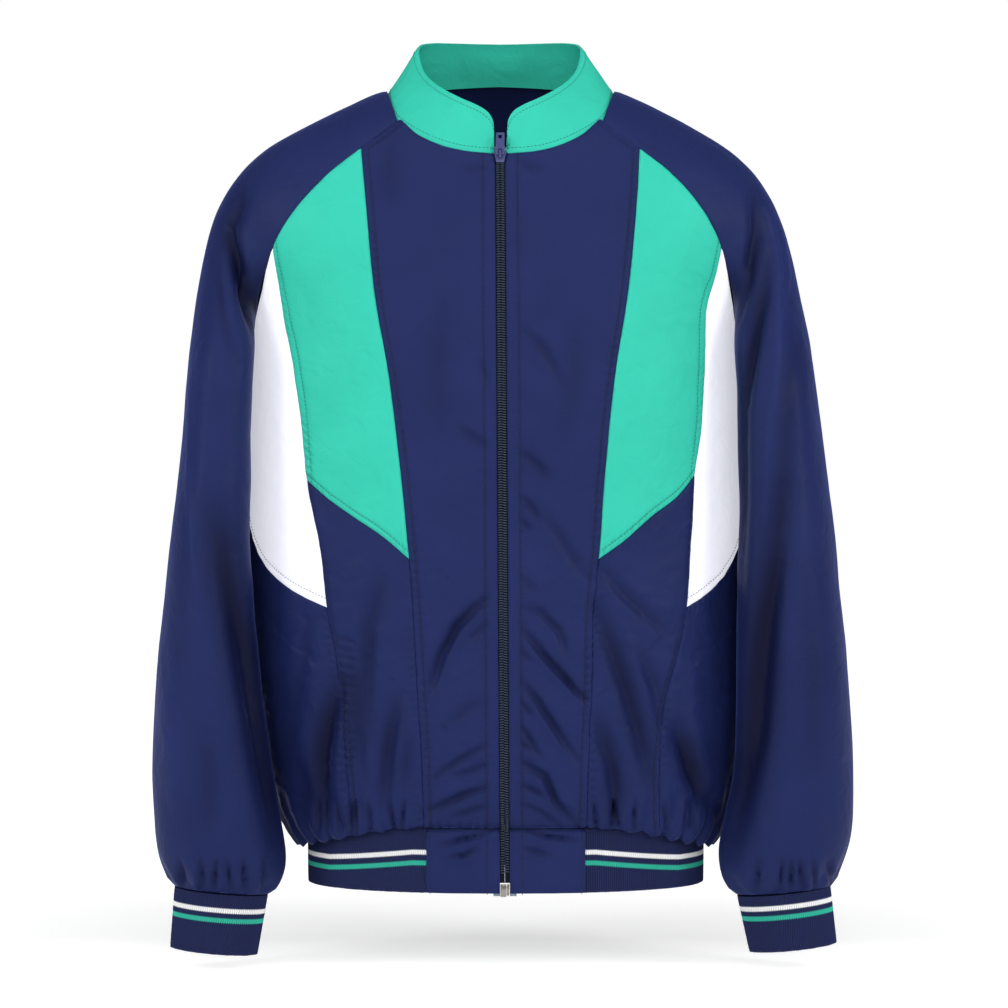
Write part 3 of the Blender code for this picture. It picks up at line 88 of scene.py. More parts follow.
def seen(points):
    """Where the camera sees points in millimetres: pixels across and down its image."""
    scale = PIXELS_PER_METRE_AT_ONE_METRE / (CAMERA_AWAY / MM + points[:, 1])
    across = IMAGE_SIDE / 2 + points[:, 0] * scale
    down = IMAGE_SIDE / 2 - (points[:, 2] - CAMERA_HEIGHT / MM) * scale
    return np.column_stack([across, down])


# %% [markdown]
# ## Smooth curves through short tables
# A pattern cutter draws an edge through a few measured points with a curved ruler. A monotone cubic does
# the same: it passes through each row of a table, bends softly and never overshoots, so no seam gets a
# false bump.


# %% Tables and curves
def table(columns, rows):
    names = columns.split()
    return {name: np.array([row[i] for row in rows], float) for i, name in enumerate(names)}


def bell(x):
    """A smooth hump: 1 at 0, about a third at 1, and almost nothing beyond 2."""
    return np.exp(-(x**2))


def smooth(xs, ys):
    order = np.argsort(xs)
    xs, ys = np.asarray(xs, float)[order], np.asarray(ys, float)[order]
    step = np.diff(xs)
    slope = np.diff(ys) / step
    bend = np.zeros(len(xs))
    bend[0], bend[-1] = slope[0], slope[-1]
    for i in range(1, len(xs) - 1):
        if slope[i - 1] * slope[i] > 0:
            near, far = 2 * step[i] + step[i - 1], step[i] + 2 * step[i - 1]
            bend[i] = (near + far) / (near / slope[i - 1] + far / slope[i])

    def at(x):
        x = np.clip(x, xs[0], xs[-1])
        i = np.clip(np.searchsorted(xs, x) - 1, 0, len(step) - 1)
        h = step[i]
        t = (x - xs[i]) / h
        ends = ys[i] * (1 + 2 * t) * (1 - t) ** 2 + ys[i + 1] * t * t * (3 - 2 * t)
        return ends + h * t * (1 - t) * (bend[i] * (1 - t) - bend[i + 1] * t)

    return at


def columns(rows, key):
    return {name: smooth(rows[key], rows[name]) for name in rows if name != key}


# %% [markdown]
# ## The body's form
# The filled-out body is a stack of oval sections, in millimetres below the side points of the neck. A
# place on it is an angle round from the middle of the front and a level. "drop" lowers a section's sides,
# where the full cloth hangs over the tight rib.

# %% The body's sections
HEM_SEAM = -611.0
HEM_FOOT = -664.0
UNDERARM = -213.0
SQUARENESS = 2.3  # 2 would make plain ovals
BODY_AT = columns(
    table(
        "level middle half front back drop",
        [
            (-664, 1.5, 169, 121, 112, 0),
            (-611, 1.5, 170, 123, 114, 0),
            (-606, 1.5, 175, 127, 121, -28),
            (-597, 1.5, 184, 131, 128, -24),
            (-583, 1.0, 191, 134, 133, -16),
            (-555, 0.0, 196, 136, 137, -6),
            (-520, -1.5, 200, 137, 139, 0),
            (-450, -5.0, 204, 134, 137, 0),
            (-350, -7.0, 206, 130, 133, 0),
            (-260, -7.0, 206, 127, 131, 0),
            (-213, -7.0, 206, 124, 129, 0),
            (-170, -6.0, 209, 121, 127, 0),
            (-134, -5.5, 227, 117, 125, 0),
            (-107, -5.0, 236, 112, 122, 0),
            (-75, -5.5, 222, 103, 116, 0),
            (-50, -6.0, 201, 91, 109, 0),
            (-25, -4.5, 161, 76, 101, 0),
            (0, -3.5, 96, 60, 91, 0),
            (19, -3.5, 84, 45, 77, 0),
            (30, -3.5, 80, 40, 66, 0),
        ],
    ),
    "level",
)


def body_points(angles, levels, out=0.0):
    turn = np.radians(angles)
    across, along = np.sin(turn), np.cos(turn)
    power = 2 / SQUARENESS
    deep = np.where(along > 0, BODY_AT["front"](levels), BODY_AT["back"](levels)) + out
    sideways = np.sign(across) * np.abs(across) ** power
    x = BODY_AT["middle"](levels) + (BODY_AT["half"](levels) + out) * sideways
    y = -deep * np.sign(along) * np.abs(along) ** power
    return np.stack([x, y, levels + BODY_AT["drop"](levels) * across**2], axis=-1)


def angle_at(x, level, back=False):
    share = (x - BODY_AT["middle"](level)) / BODY_AT["half"](level)
    turn = np.degrees(np.arcsin(np.minimum(1.0, np.abs(share)) ** (SQUARENESS / 2)))
    return np.where(share < 0, -1.0, 1.0) * (180 - turn if back else turn)


# %% [markdown]
# ## The seams
# The long seam, the side-front seam and the slanted feet of the coloured panels are drawn as they are
# seen from the front, a little differently on each side because the cloth is. The raglan seam runs from
# neck to underarm.

# %% Seam tables
LONG_SEAM = columns(
    table(
        "level right left",
        [
            (-611, -65.5, 67.5),
            (-547, -67.3, 69.0),
            (-500, -70.5, 71.5),
            (-437, -74.0, 73.0),
            (-391, -77.5, 77.5),
            (-324, -84.0, 82.5),
            (-244, -94.0, 90.5),
            (-168, -107.0, 102.5),
            (-95, -114.0, 109.5),
            (-51, -118.3, 112.5),
        ],
    ),
    "level",
)
SIDE_SEAM = columns(
    table(
        "level right left",
        [
            (-611, -124.0, 128.0),
            (-560, -128.5, 127.5),
            (-516, -132.0, 130.5),
            (-466, -139.0, 143.0),
            (-431, -145.5, 150.5),
            (-382, -151.0, 154.5),
            (-326, -163.0, 157.5),
            (-284, -167.0, 163.5),
            (-232, -175.0, 167.0),
            (-192, -183.0, 167.5),
            (-158, -188.5, 176.0),
            (-134, -192.0, 181.0),
        ],
    ),
    "level",
)
CHEST_FOOT = columns(
    table(
        "along right left",
        [(0, -391, -391), (0.25, -373, -377), (0.55, -356, -356), (0.8, -341, -341), (1, -326, -322)],
    ),
    "along",
)
SIDE_FOOT = columns(
    table(
        "along right left",
        [(0, -431, -431), (0.3, -415, -414), (0.6, -390, -388), (0.85, -352, -360), (1, -338, -345)],
    ),
    "along",
)
RAGLAN = {
    "front": columns(
        table(
            "along level right left",
            [
                (0, -25, -86.5, 80.0),
                (0.16, -51, -118.3, 112.5),
                (0.36, -76, -149.5, 143.0),
                (0.52, -106, -176.0, 167.0),
                (0.66, -134, -192.0, 181.0),
                (0.84, -176, -205.5, 191.5),
                (1, -213, -213.2, 199.2),
            ],
        ),
        "along",
    ),
    "back": columns(
        table(
            "along level right left",
            [
                (0, 17, -58.0, 51.0),
                (0.16, -20, -92.0, 84.0),
                (0.36, -62, -128.0, 120.0),
                (0.52, -100, -158.0, 150.0),
                (0.66, -134, -180.0, 171.0),
                (0.84, -178, -202.0, 188.0),
                (1, -213, -213.2, 199.2),
            ],
        ),
        "along",
    ),
}
NECK_EDGE = columns(
    table("x level", [(0, -57.0), (0.22, -55.5), (0.52, -50.5), (0.8, -40.0), (1, -25.0)]), "x"
)
YOKE_SHARE, CHEST_SHARE = 0.16, 0.66  # where the chest and side panels begin along the raglan seam
LONG_TOP, SIDE_TOP, LOWEST_NECK = -51.0, -134.0, -57.0
ZIP_TOP_X, ZIP_FOOT_X, ZIP_HALF = -3.2, 0.8, 3.9


def zip_middle(z):
    return ZIP_TOP_X + (ZIP_FOOT_X - ZIP_TOP_X) * (z - LOWEST_NECK) / (HEM_FOOT - LOWEST_NECK)


def zip_edge(side, z):
    return zip_middle(z) + SIDES[side] * ZIP_HALF


def raglan_place(side, face, along):
    """The raglan seam's (angle, level) at a share of its length from neck to underarm."""
    level = RAGLAN[face]["level"](along)
    return angle_at(RAGLAN[face][side](along), level, face == "back"), level


# %% [markdown]
# ## The creases
# Cloth this thin keeps the marks of wear, folding and sewing. Each row below is one crease: its line, its
# width, and how deep it goes in millimetres. Those on the front are drawn as the camera sees them, in its
# pixels of 0.8 mm, and those on the back in (x, z) millimetres. A soft ridge stands beside a crease where
# "ridge" is not 0, on the right of its line for a positive share and on the left for a negative one,
# because cloth pushed out of a trough has to go somewhere. A depth below 0 is a ridge by itself: the
# sleeves were pressed flat once, and still show it.

# %% Crease tables
FRONT_CREASES = [
    # the sleeve on the image's left: troughs at the armpit, a pressed line, the deep forearm fold
    ("sleeve_right", [(243, 184), (237, 210), (229, 238)], 8, 4.5, 0.0),
    ("sleeve_right", [(227, 228), (237, 264), (248, 298), (259, 330), (270, 362)], 7, 11, -0.2),
    ("sleeve_right", [(214, 250), (220, 310), (238, 368)], 5, 2, -0.5),
    (
        "sleeve_right",
        [(192, 340), (188.6, 416), (187.5, 480), (191, 534), (196, 590), (200, 625)],
        2.6,
        -1.5,
        0.0,
    ),
    (
        "sleeve_right",
        [(216, 515), (229, 570), (242, 620), (252, 665), (261, 712), (268, 760), (278, 815), (284, 860)],
        17,
        10,
        0.05,
    ),
    ("sleeve_right", [(236, 560), (250, 610), (260, 670)], 5, -2, 0.0),
    ("sleeve_right", [(163, 690), (168, 740), (176, 800)], 9, -2, 0.0),
    ("sleeve_right", [(205, 740), (210, 790), (205, 830)], 10, 2.5, 0.3),
    # the sleeve on the image's right: pressed lines that branch at the top, and its own deep fold
    (
        "sleeve_left",
        [(759, 186), (770, 215), (779, 265), (780, 320), (777, 374), (768, 440), (764, 520)],
        3,
        -2.4,
        0.0,
    ),
    ("sleeve_left", [(770, 200), (783, 240), (788, 275), (783, 320)], 3, -1.6, 0.0),
    ("sleeve_left", [(756, 196), (757, 232), (748, 280), (734, 322)], 7, 6, 0.3),
    ("sleeve_left", [(768, 255), (764, 300), (755, 345), (744, 402)], 6, 5, -0.3),
    (
        "sleeve_left",
        [(756, 300), (750, 345), (742, 395), (740, 450), (739, 520), (736, 590), (732, 650)],
        8,
        5.5,
        0.0,
    ),
    ("sleeve_left", [(800, 325), (793, 370), (788, 420), (786, 470), (781, 520)], 10, 3.4, 0.0),
    (
        "sleeve_left",
        [(783, 490), (777, 560), (766, 620), (758, 680), (753, 740), (742, 790), (730, 850)],
        15,
        10,
        0.05,
    ),
    ("sleeve_left", [(795, 480), (790, 560), (782, 660)], 12, -3, 0.0),
    ("sleeve_left", [(805, 560), (815, 680), (812, 780)], 14, 2.5, 0.2),
    # beside the zip, where its tape has drawn the cloth up
    ("body", [(491, 595), (474, 609), (456, 627), (441, 656), (430, 690)], 5, 5.2, -0.4),
    ("body", [(489, 700), (470, 707), (446, 728)], 5, 1.8, -0.4),
    ("body", [(491, 744), (460, 760), (430, 782)], 4, 3.0, -0.4),
    ("body", [(491, 787), (466, 795), (441, 806), (424, 812)], 4, 4.2, -0.4),
    ("body", [(521, 577), (535, 591)], 4, 1.8, 0.4),
    ("body", [(521, 607), (541, 612), (559, 631), (568, 655)], 4, 3.2, 0.4),
    ("body", [(519, 624), (541, 652), (563, 677), (585, 699)], 4, 4.4, 0.4),
    ("body", [(519, 680), (538, 702), (559, 734), (577, 760)], 4, 4.2, 0.4),
    ("body", [(519, 724), (530, 740), (540, 757)], 3, 3.2, 0.4),
    ("body", [(519, 761), (545, 777), (556, 802), (575, 824)], 4, 4.6, 0.4),
    ("body", [(519, 784), (545, 797)], 3, 3.0, 0.4),
    ("body", [(545, 515), (574, 559), (592, 583)], 6, 2.2, 0.3),
    ("body", [(522, 330), (540, 344), (553, 365), (561, 384)], 5, 2.6, 0.3),
    ("body", [(519, 450), (534, 462), (551, 478)], 5, 2.8, 0.4),
    ("body", [(519, 496), (530, 506), (540, 520)], 4, 3.0, 0.4),
    ("body", [(519, 520), (531, 530)], 3, 2.4, 0.4),
    ("body", [(490, 448), (478, 440), (457, 428)], 5, 2.2, 0.3),
    ("body", [(480, 362), (486, 374), (490, 390)], 4, 1.8, 0.3),
    ("body", [(516, 158), (530, 166), (546, 168)], 4, 1.8, 0.3),
    ("body", [(490, 170), (476, 168), (462, 172)], 4, 1.4, -0.3),
    ("body", [(440, 300), (436, 370), (440, 430)], 9, 1.6, 0.3),
    ("body", [(577, 320), (574, 380), (566, 440)], 9, 1.6, -0.3),
    ("body", [(384, 130), (388, 170), (394, 210)], 10, 1.6, 0.0),
    ("body", [(490, 622), (478, 632), (470, 640)], 3, 2.2, -0.4),
    ("body", [(490, 764), (470, 772), (452, 776)], 3, 2.4, -0.4),
    ("body", [(490, 806), (470, 812), (452, 818)], 3, 2.6, -0.4),
    ("body", [(519, 648), (530, 662)], 3, 2.2, 0.4),
    ("body", [(519, 700), (532, 716)], 3, 2.2, 0.4),
    ("body", [(519, 742), (534, 752)], 3, 2.2, 0.4),
    ("body", [(519, 803), (540, 812), (560, 826)], 3, 2.6, 0.4),
    ("body", [(586, 700), (574, 690), (560, 668)], 3, 2.0, 0.4),
    # the front below the coloured panels
    ("body", [(600, 566), (622, 592), (648, 617), (668, 634)], 6, 3.0, 0.35),
    ("body", [(597, 606), (613, 650), (627, 690), (640, 735), (652, 785)], 8, 5.5, -0.3),
    ("body", [(598, 720), (612, 762), (616, 795), (612, 828)], 8, 5.5, 0.3),
    ("body", [(640, 650), (655, 685), (660, 720)], 6, 2.4, 0.3),
    ("body", [(397, 700), (388, 745), (384, 800)], 7, 4.4, -0.4),
    ("body", [(380, 580), (368, 630), (364, 690), (368, 740)], 8, 3.6, 0.3),
    ("body", [(408, 735), (404, 790)], 5, 2.2, 0.3),
    ("body", [(350, 660), (356, 720), (362, 780)], 6, 2.6, -0.3),
    # the sides, under the arms
    ("body", [(338, 684), (328, 718), (322, 750), (321, 785), (326, 820)], 10, 8, -0.3),
    ("body", [(308, 622), (302, 668), (296, 712), (290, 762)], 7, 1.6, -0.3),
    ("body", [(300, 760), (306, 800), (312, 822)], 6, 3.0, 0.3),
    ("body", [(678, 728), (690, 764), (706, 808)], 9, 7.5, -0.3),
    ("body", [(700, 640), (706, 700), (708, 760)], 7, 1.2, 0.3),
    ("band", [(491, 831), (470, 838), (440, 846)], 3, 3.4, -0.4),
    ("band", [(478, 849), (465, 856), (448, 858)], 3, 3.2, -0.4),
    ("band", [(527, 829), (545, 836), (578, 841)], 3, 3.4, 0.4),
    ("band", [(524, 849), (550, 856)], 3, 2.8, 0.4),
]
# Short pleats stand where the full cloth is drawn into a rib: the foot of each, as the camera sees it.
for x, lean in ((318, 3), (326, 4), (341, 6), (350, -3), (356, 4), (371, 3), (394, 5), (401, -3)):
    FRONT_CREASES.append(("body", [(x - lean, 800), (x, 834)], 2.3, 3.2, 0.25))
for x, lean in ((597, -3), (611, 5), (620, -6), (633, 3), (668, -4), (683, 5), (694, -3), (712, 5)):
    FRONT_CREASES.append(("body", [(x + lean, 800), (x, 834)], 2.3, 3.2, -0.25))
for x, lean in ((183, 3), (202, 2), (214, -2), (230, 3), (245, 2), (262, -4)):
    FRONT_CREASES.append(("sleeve_right", [(x - lean, 860), (x, 892)], 2.6, 3.4, 0.25))
for x, lean in ((757, 2), (779, 4), (790, 2), (803, -3), (815, -2), (833, -4)):
    FRONT_CREASES.append(("sleeve_left", [(x + lean, 860), (x, 892)], 2.6, 3.4, -0.25))
# The tacking along the pocket mouth draws the cloth into a ladder of small creases.
for rung, y in enumerate(range(640, 770, 9)):
    FRONT_CREASES.append(("body", [(337 + rung % 3, y), (356 - rung % 2, y + 2)], 2.2, 1.5, 0.4))

BACK_CREASES = [
    ("body", [(-150, -250), (-120, -330), (-112, -420)], 12, 6, 0.2),
    ("body", [(146, -255), (122, -340), (108, -440)], 12, 6, -0.2),
    ("body", [(-60, -480), (-52, -590)], 8, 5, 0.3),
    ("body", [(10, -500), (4, -596)], 8, 4, -0.3),
    ("body", [(76, -470), (84, -592)], 8, 5, 0.3),
    ("body", [(-128, -470), (-110, -520), (-104, -585)], 8, 4, -0.3),
    ("body", [(-90, -150), (-40, -190), (20, -205)], 9, 3, 0.3),
    ("sleeve_right", [(-262, -220), (-268, -330)], 9, 4, 0.0),
    ("sleeve_right", [(-250, -480), (-240, -600)], 10, 6, 0.3),
    ("sleeve_right", [(-228, -250), (-240, -320), (-262, -370)], 8, 5, 0.3),
    ("sleeve_left", [(256, -225), (263, -340)], 9, 4, 0.0),
    ("sleeve_left", [(246, -470), (236, -600)], 10, 6, -0.3),
    ("sleeve_left", [(220, -255), (234, -330), (256, -380)], 8, 5, -0.3),
]


# %% [markdown]
# ### From tables to depths
# A crease is a bell-shaped trough across its line, tapered at both ends. Its shade, painted into the cloth's
# colour, is a little wider than its depth, because the sides of a narrow fold take light from each other.

# %% Crease depths
# The shade here is painted shade: the cloth's colour darkens with it in each crease.
SHADE_WIDTH = 1.5  # a trough's soft shade is this much wider than the trough itself
SHADE_DEPTH = 7.0  # a trough this deep takes the full shade
SHADE_MIX = {"soft": 0.55, "narrow": 0.45}  # the shares of the spread-out shade and of the trough's own
# painted highlight: a ridge's shade goes below 0, which lightens the cloth's colour
SHADE_LIMITS = (-0.25, 1.0)  # a ridge is a little lighter than the cloth round it
RIDGE_BESIDE = 1.6  # a ridge stands this many widths beside its trough
TAPER = {"start": 0.07, "run": 0.86, "power": 0.8}  # a crease fades at its ends as this part of a sine does
# A crease fades where the cloth turns away from its side: soon for its depth, at the edge for its shade.
FACING = {"push": 2.2, "shade": 6.0, "edge_shade": 0.3}


def beside(points, path):
    """Each (x, z) point's signed distance to the right of a line, and its share of the way along it."""
    path = np.array(path, float)
    lengths = np.linalg.norm(np.diff(path, axis=0), axis=1)
    starts = np.concatenate([[0], np.cumsum(lengths)])
    best = np.full(len(points), 1e9)
    signed = np.zeros(len(points))
    place = np.zeros(len(points))
    for i, length in enumerate(lengths):
        way = (path[i + 1] - path[i]) / length
        offset = points - path[i]
        t = offset @ way
        clipped = np.clip(t, 0, length)
        gap = np.linalg.norm(offset - clipped[:, None] * way, axis=1)
        nearer = gap < best
        best[nearer] = gap[nearer]
        right = np.sign(offset[:, 1] * way[0] - offset[:, 0] * way[1])
        signed[nearer] = (-gap * right)[nearer]
        place[nearer] = (starts[i] + clipped[nearer]) / starts[-1]
    return signed, place


def crease_push(points, normals, owner):
    """How far the creases move each point out along its normal, and how much shade is painted into them."""
    push, shade = np.zeros(len(points)), np.zeros(len(points))
    front = FRONT_CREASES, -normals[:, 1], seen(points)
    back = BACK_CREASES, normals[:, 1], points[:, [0, 2]]
    for creases, facing, places in (front, back):
        weight = np.clip(facing * FACING["push"], 0, 1)
        tone = np.clip(facing * FACING["shade"] + FACING["edge_shade"], 0, 1)
        for part, path, width, deep, ridge in creases:
            if part != owner:
                continue
            signed, place = beside(places, path)
            if creases is FRONT_CREASES:
                signed = -signed  # the image's second axis runs down
            taper = np.sin(np.pi * np.clip(place * TAPER["run"] + TAPER["start"], 0, 1)) ** TAPER["power"]
            trough = bell(signed / width)
            bank = abs(ridge) * bell((signed * np.sign(ridge) - RIDGE_BESIDE * width) / width)
            push += weight * deep * taper * (bank - trough)
            spread = bell(signed / (width * SHADE_WIDTH))
            dim = SHADE_MIX["soft"] * spread + SHADE_MIX["narrow"] * trough
            shade += tone * taper * deep / SHADE_DEPTH * dim
    return push, np.clip(shade, *SHADE_LIMITS)


# %% [markdown]
# ## Gathers, puckers and slackness
# Three kinds of small relief come from sewing. Gathers stand where full cloth is drawn into a rib.
# Puckers cross a row of stitches every few millimetres, because the thread is tighter than the cloth.
# Slackness is the broad, low unevenness of any filled-out sheet, and Perlin noise is a fair likeness of
# it.

# %% Small relief
HEM_GATHERS = {"count": 44, "depth": 3.4, "reach": 46.0}
CUFF_GATHERS = {"count": 16, "depth": 3.2, "reach": 34.0}
GATHER_ROOT = 7.0  # the gathers are low at the rib itself, and full this far above it
CRINKLE_PITCH = {"across": 17, "along": 62, "deep": 60}
DRIFT_STEP, DRIFT_TURN = 23.0, 2.1  # the ripples' spacing wanders, as a row of stitches does
SEAM_HALF = 1.8  # the seam itself stays straight, over this half-width


def gather_push(shares, heights, gathers):
    rise = np.clip(1 - heights / gathers["reach"], 0, 1)
    root = np.clip(heights / GATHER_ROOT, 0, 1)
    wave = np.cos(2 * np.pi * gathers["count"] * shares)
    sway = 0.75 + 0.25 * np.cos(2 * np.pi * shares * 5 + 1.3)
    return gathers["depth"] * wave * sway * rise**1.3 * (0.15 + 0.85 * root)


def perlin(points, size, seed):
    """Smooth noise of about -1 to 1 at each point, with bumps of a size in millimetres."""
    shift = Vector((seed * 17.3, seed * 5.1, seed * 11.7))
    return np.array([noise.noise(Vector(point) / size + shift) for point in points])


def crinkle(points, depth=0.7):
    """Narrow ridges that run down and outwards from the zip, stronger low on the body."""
    low = np.clip((-250 - points[:, 2]) / 200, 0.25, 1.0)
    slant = np.stack(
        [
            (points[:, 2] + 0.7 * np.abs(points[:, 0])) / CRINKLE_PITCH["across"],
            (points[:, 2] - 0.9 * np.abs(points[:, 0])) / CRINKLE_PITCH["along"],
            points[:, 1] / CRINKLE_PITCH["deep"],
        ],
        axis=-1,
    )
    value = np.array([noise.noise(Vector(point)) for point in slant])
    return depth * low * (1 - np.minimum(np.abs(value) * 3.5, 1.0)) ** 2 * np.sign(slant[:, 1] % 2 - 0.8)


def pucker_push(along, away, seed, pitch=7.0, depth=0.75, reach=7.0):
    """Ripples that cross a row of stitches: along it, and how far away from it, in millimetres."""
    stops = np.arange(0, 1400, DRIFT_STEP)
    drift = np.interp(along, stops, DRIFT_TURN * np.sin(stops * (0.11 + seed * 0.013)))
    swell = 0.55 + 0.45 * np.sin(along * 0.049 + seed * 2.3)
    beside_seam = bell(away / reach) - bell(away / SEAM_HALF)
    return depth * swell * np.sin(2 * np.pi * along / pitch + drift) * beside_seam


# %% [markdown]
# ## A sheet with two faces
# Every cloth piece is a grid of points worked out from the tables. The outer face keeps the whole grid.
# The inner face shows only at the neck, the hem and the cuffs, so it takes every third row and column,
# and a rim joins the two. The grid also gives each piece a UV map in millimetres, which the weaves and
# knits read.

# %% Grids to meshes
INNER_STEP = 3
CLOTH = 1.2
SEAM_GAP = 0.15


def unit(vectors):
    return vectors / np.maximum(np.linalg.norm(vectors, axis=-1, keepdims=True), 1e-9)


def grid_normals(grid, outward):
    """Normals of a grid of points, turned to the side of the vectors in outward."""
    normal = unit(np.cross(np.gradient(grid, axis=1), np.gradient(grid, axis=0)))
    flip = np.sign((normal * outward).sum(axis=-1, keepdims=True).mean())
    return normal * (flip if flip else 1.0)


def run_lengths(grid, axis):
    """The length run along each row or column of a grid, in millimetres."""
    steps = np.linalg.norm(np.diff(grid, axis=axis), axis=-1)
    pad = [(0, 0), (0, 0)]
    pad[axis] = (1, 0)
    return np.cumsum(np.pad(steps, pad), axis=axis)


def rim(outer, inner, step):
    """Faces between an edge of the outer grid and the coarser edge of the inner one."""
    faces = []
    for k in range(len(inner) - 1):
        faces.append([*outer[k * step : (k + 1) * step + 1], inner[k + 1], inner[k]])
    return faces


def deepest_dip(grid, normals, step):
    """How far the fine grid dips below its own coarse copy near each coarse point, in millimetres."""
    rows, cols = grid.shape[:2]
    few = grid[::step, ::step]
    i, j = (np.minimum(np.arange(count) // step, count // step - 1) for count in (rows, cols))
    down = (np.arange(rows) / step - i)[:, None, None]
    across = (np.arange(cols) / step - j)[None, :, None]
    upper = few[i][:, j] * (1 - across) + few[i][:, j + 1] * across
    lower = few[i + 1][:, j] * (1 - across) + few[i + 1][:, j + 1] * across
    dip = np.maximum(((upper * (1 - down) + lower * down - grid) * normals).sum(axis=-1), 0)
    padded = np.pad(dip, step)
    shifts = [(a, b) for a in range(2 * step + 1) for b in range(2 * step + 1)]
    return np.max([padded[a : a + rows : step, b : b + cols : step] for a, b in shifts], axis=0)


def sheet_mesh(name, grid, normals, thickness, step=INNER_STEP, shade=None):
    rows, cols = grid.shape[:2]
    assert (rows - 1) % step == 0 and (cols - 1) % step == 0, (name, rows, cols)
    # the extra depth keeps the outer face's sharp creases from cutting the inner face
    inward = thickness + deepest_dip(grid, normals, step)
    coarse = grid[::step, ::step] - normals[::step, ::step] * inward[..., None]
    outer_index = np.arange(rows * cols).reshape(rows, cols)
    inner_index = rows * cols + np.arange(coarse.shape[0] * coarse.shape[1]).reshape(coarse.shape[:2])

    def quads(index):
        corners = index[:-1, :-1], index[:-1, 1:], index[1:, 1:], index[1:, :-1]
        return np.stack([corner.ravel() for corner in corners], axis=1).tolist()

    faces = quads(outer_index) + [face[::-1] for face in quads(inner_index)]
    faces += [face[::-1] for face in rim(outer_index[0].tolist(), inner_index[0].tolist(), step)]
    faces += rim(outer_index[-1].tolist(), inner_index[-1].tolist(), step)
    faces += rim(outer_index[:, 0].tolist(), inner_index[:, 0].tolist(), step)
    faces += [face[::-1] for face in rim(outer_index[:, -1].tolist(), inner_index[:, -1].tolist(), step)]
    points = np.vstack([grid.reshape(-1, 3), coarse.reshape(-1, 3)]) * MM
    mesh = bpy.data.meshes.new(name)
    mesh.from_pydata(points.tolist(), [], faces)
    across, along = run_lengths(grid, 1), run_lengths(grid, 0)
    spots = np.stack([across, along], axis=-1)
    spots = np.vstack([spots.reshape(-1, 2), spots[::step, ::step].reshape(-1, 2)])
    loops = np.zeros(len(mesh.loops), np.int32)
    mesh.loops.foreach_get("vertex_index", loops)
    layer = mesh.uv_layers.new(name="cloth_mm")
    layer.data.foreach_set("uv", spots[loops].astype(np.float32).ravel())
    if shade is not None:
        values = np.concatenate([shade.ravel(), np.zeros(coarse.shape[0] * coarse.shape[1])])
        painted_fold_shade = mesh.attributes.new("painted_fold_shade", "FLOAT", "POINT")
        painted_fold_shade.data.foreach_set("value", values.astype(np.float32))
    outward = normals[rows // 2, cols // 2]
    face = mesh.polygons[(rows // 2 - 1) * (cols - 1) + cols // 2 - 1]
    if np.dot(face.normal, outward) < 0:
        mesh.flip_normals()
    mesh.shade_smooth()
    mesh.set_sharp_from_angle(angle=math.radians(70))
    return mesh


# %% [markdown]
# ## Materials: one helper, sRGB colours, real thread sizes
# Each material says what the real one is and what that does to light. Colours are written as they look on
# a screen and turned to linear light once. A Principled shader carries them, and the weave or knit is
# relief in its normal input, with its pitch in millimetres of cloth.


# %% Node helper and colours
def linear(hex_colour):
    parts = [int(hex_colour[i : i + 2], 16) / 255 for i in (1, 3, 5)]
    return (*[c / 12.92 if c <= 0.04045 else ((c + 0.055) / 1.055) ** 2.4 for c in parts], 1.0)


def add(tree, kind, inputs=None, **settings):
    """A new node: its settings by name, and its inputs as constants or as other nodes' outputs to link."""
    made = tree.nodes.new(kind)
    for name, value in settings.items():
        setattr(made, name, value)
    for key, value in (inputs or {}).items():
        if isinstance(value, bpy.types.NodeSocket):
            tree.links.new(value, made.inputs[key])
        else:
            made.inputs[key].default_value = value
    return made


def maths(tree, operation, *values):
    return add(tree, "ShaderNodeMath", dict(enumerate(values)), operation=operation)


def map_range(tree, value, low, high, at_low, at_high):
    """A node that turns low to high into at_low to at_high, and goes no further at either end."""
    return add(tree, "ShaderNodeMapRange", {"Value": value, 1: low, 2: high, 3: at_low, 4: at_high})


def new_material(name, **shader):
    made = bpy.data.materials.new(name)
    made.use_nodes = True
    principled = made.node_tree.nodes["Principled BSDF"]
    for key, value in shader.items():
        principled.inputs[key.replace("_", " ")].default_value = value
    return made, made.node_tree, principled


# %% [markdown]
# ### Woven polyester taffeta
# Fine filament yarn in a plain weave, calendered smooth: it has a soft satin gloss and a faint bloom of
# sheen at grazing angles. The real threads are about 0.2 mm apart, far under a pixel here, so the weave
# is drawn at 0.9 mm and shallow. Broad, faint mottling stands for the dye and the press.

# %% Woven cloths
THREAD_PITCH = 0.9
WAVE_BAND = 0.314  # how far apart a wave texture's bands are at scale 1
WHITE_GLOW = 0.58


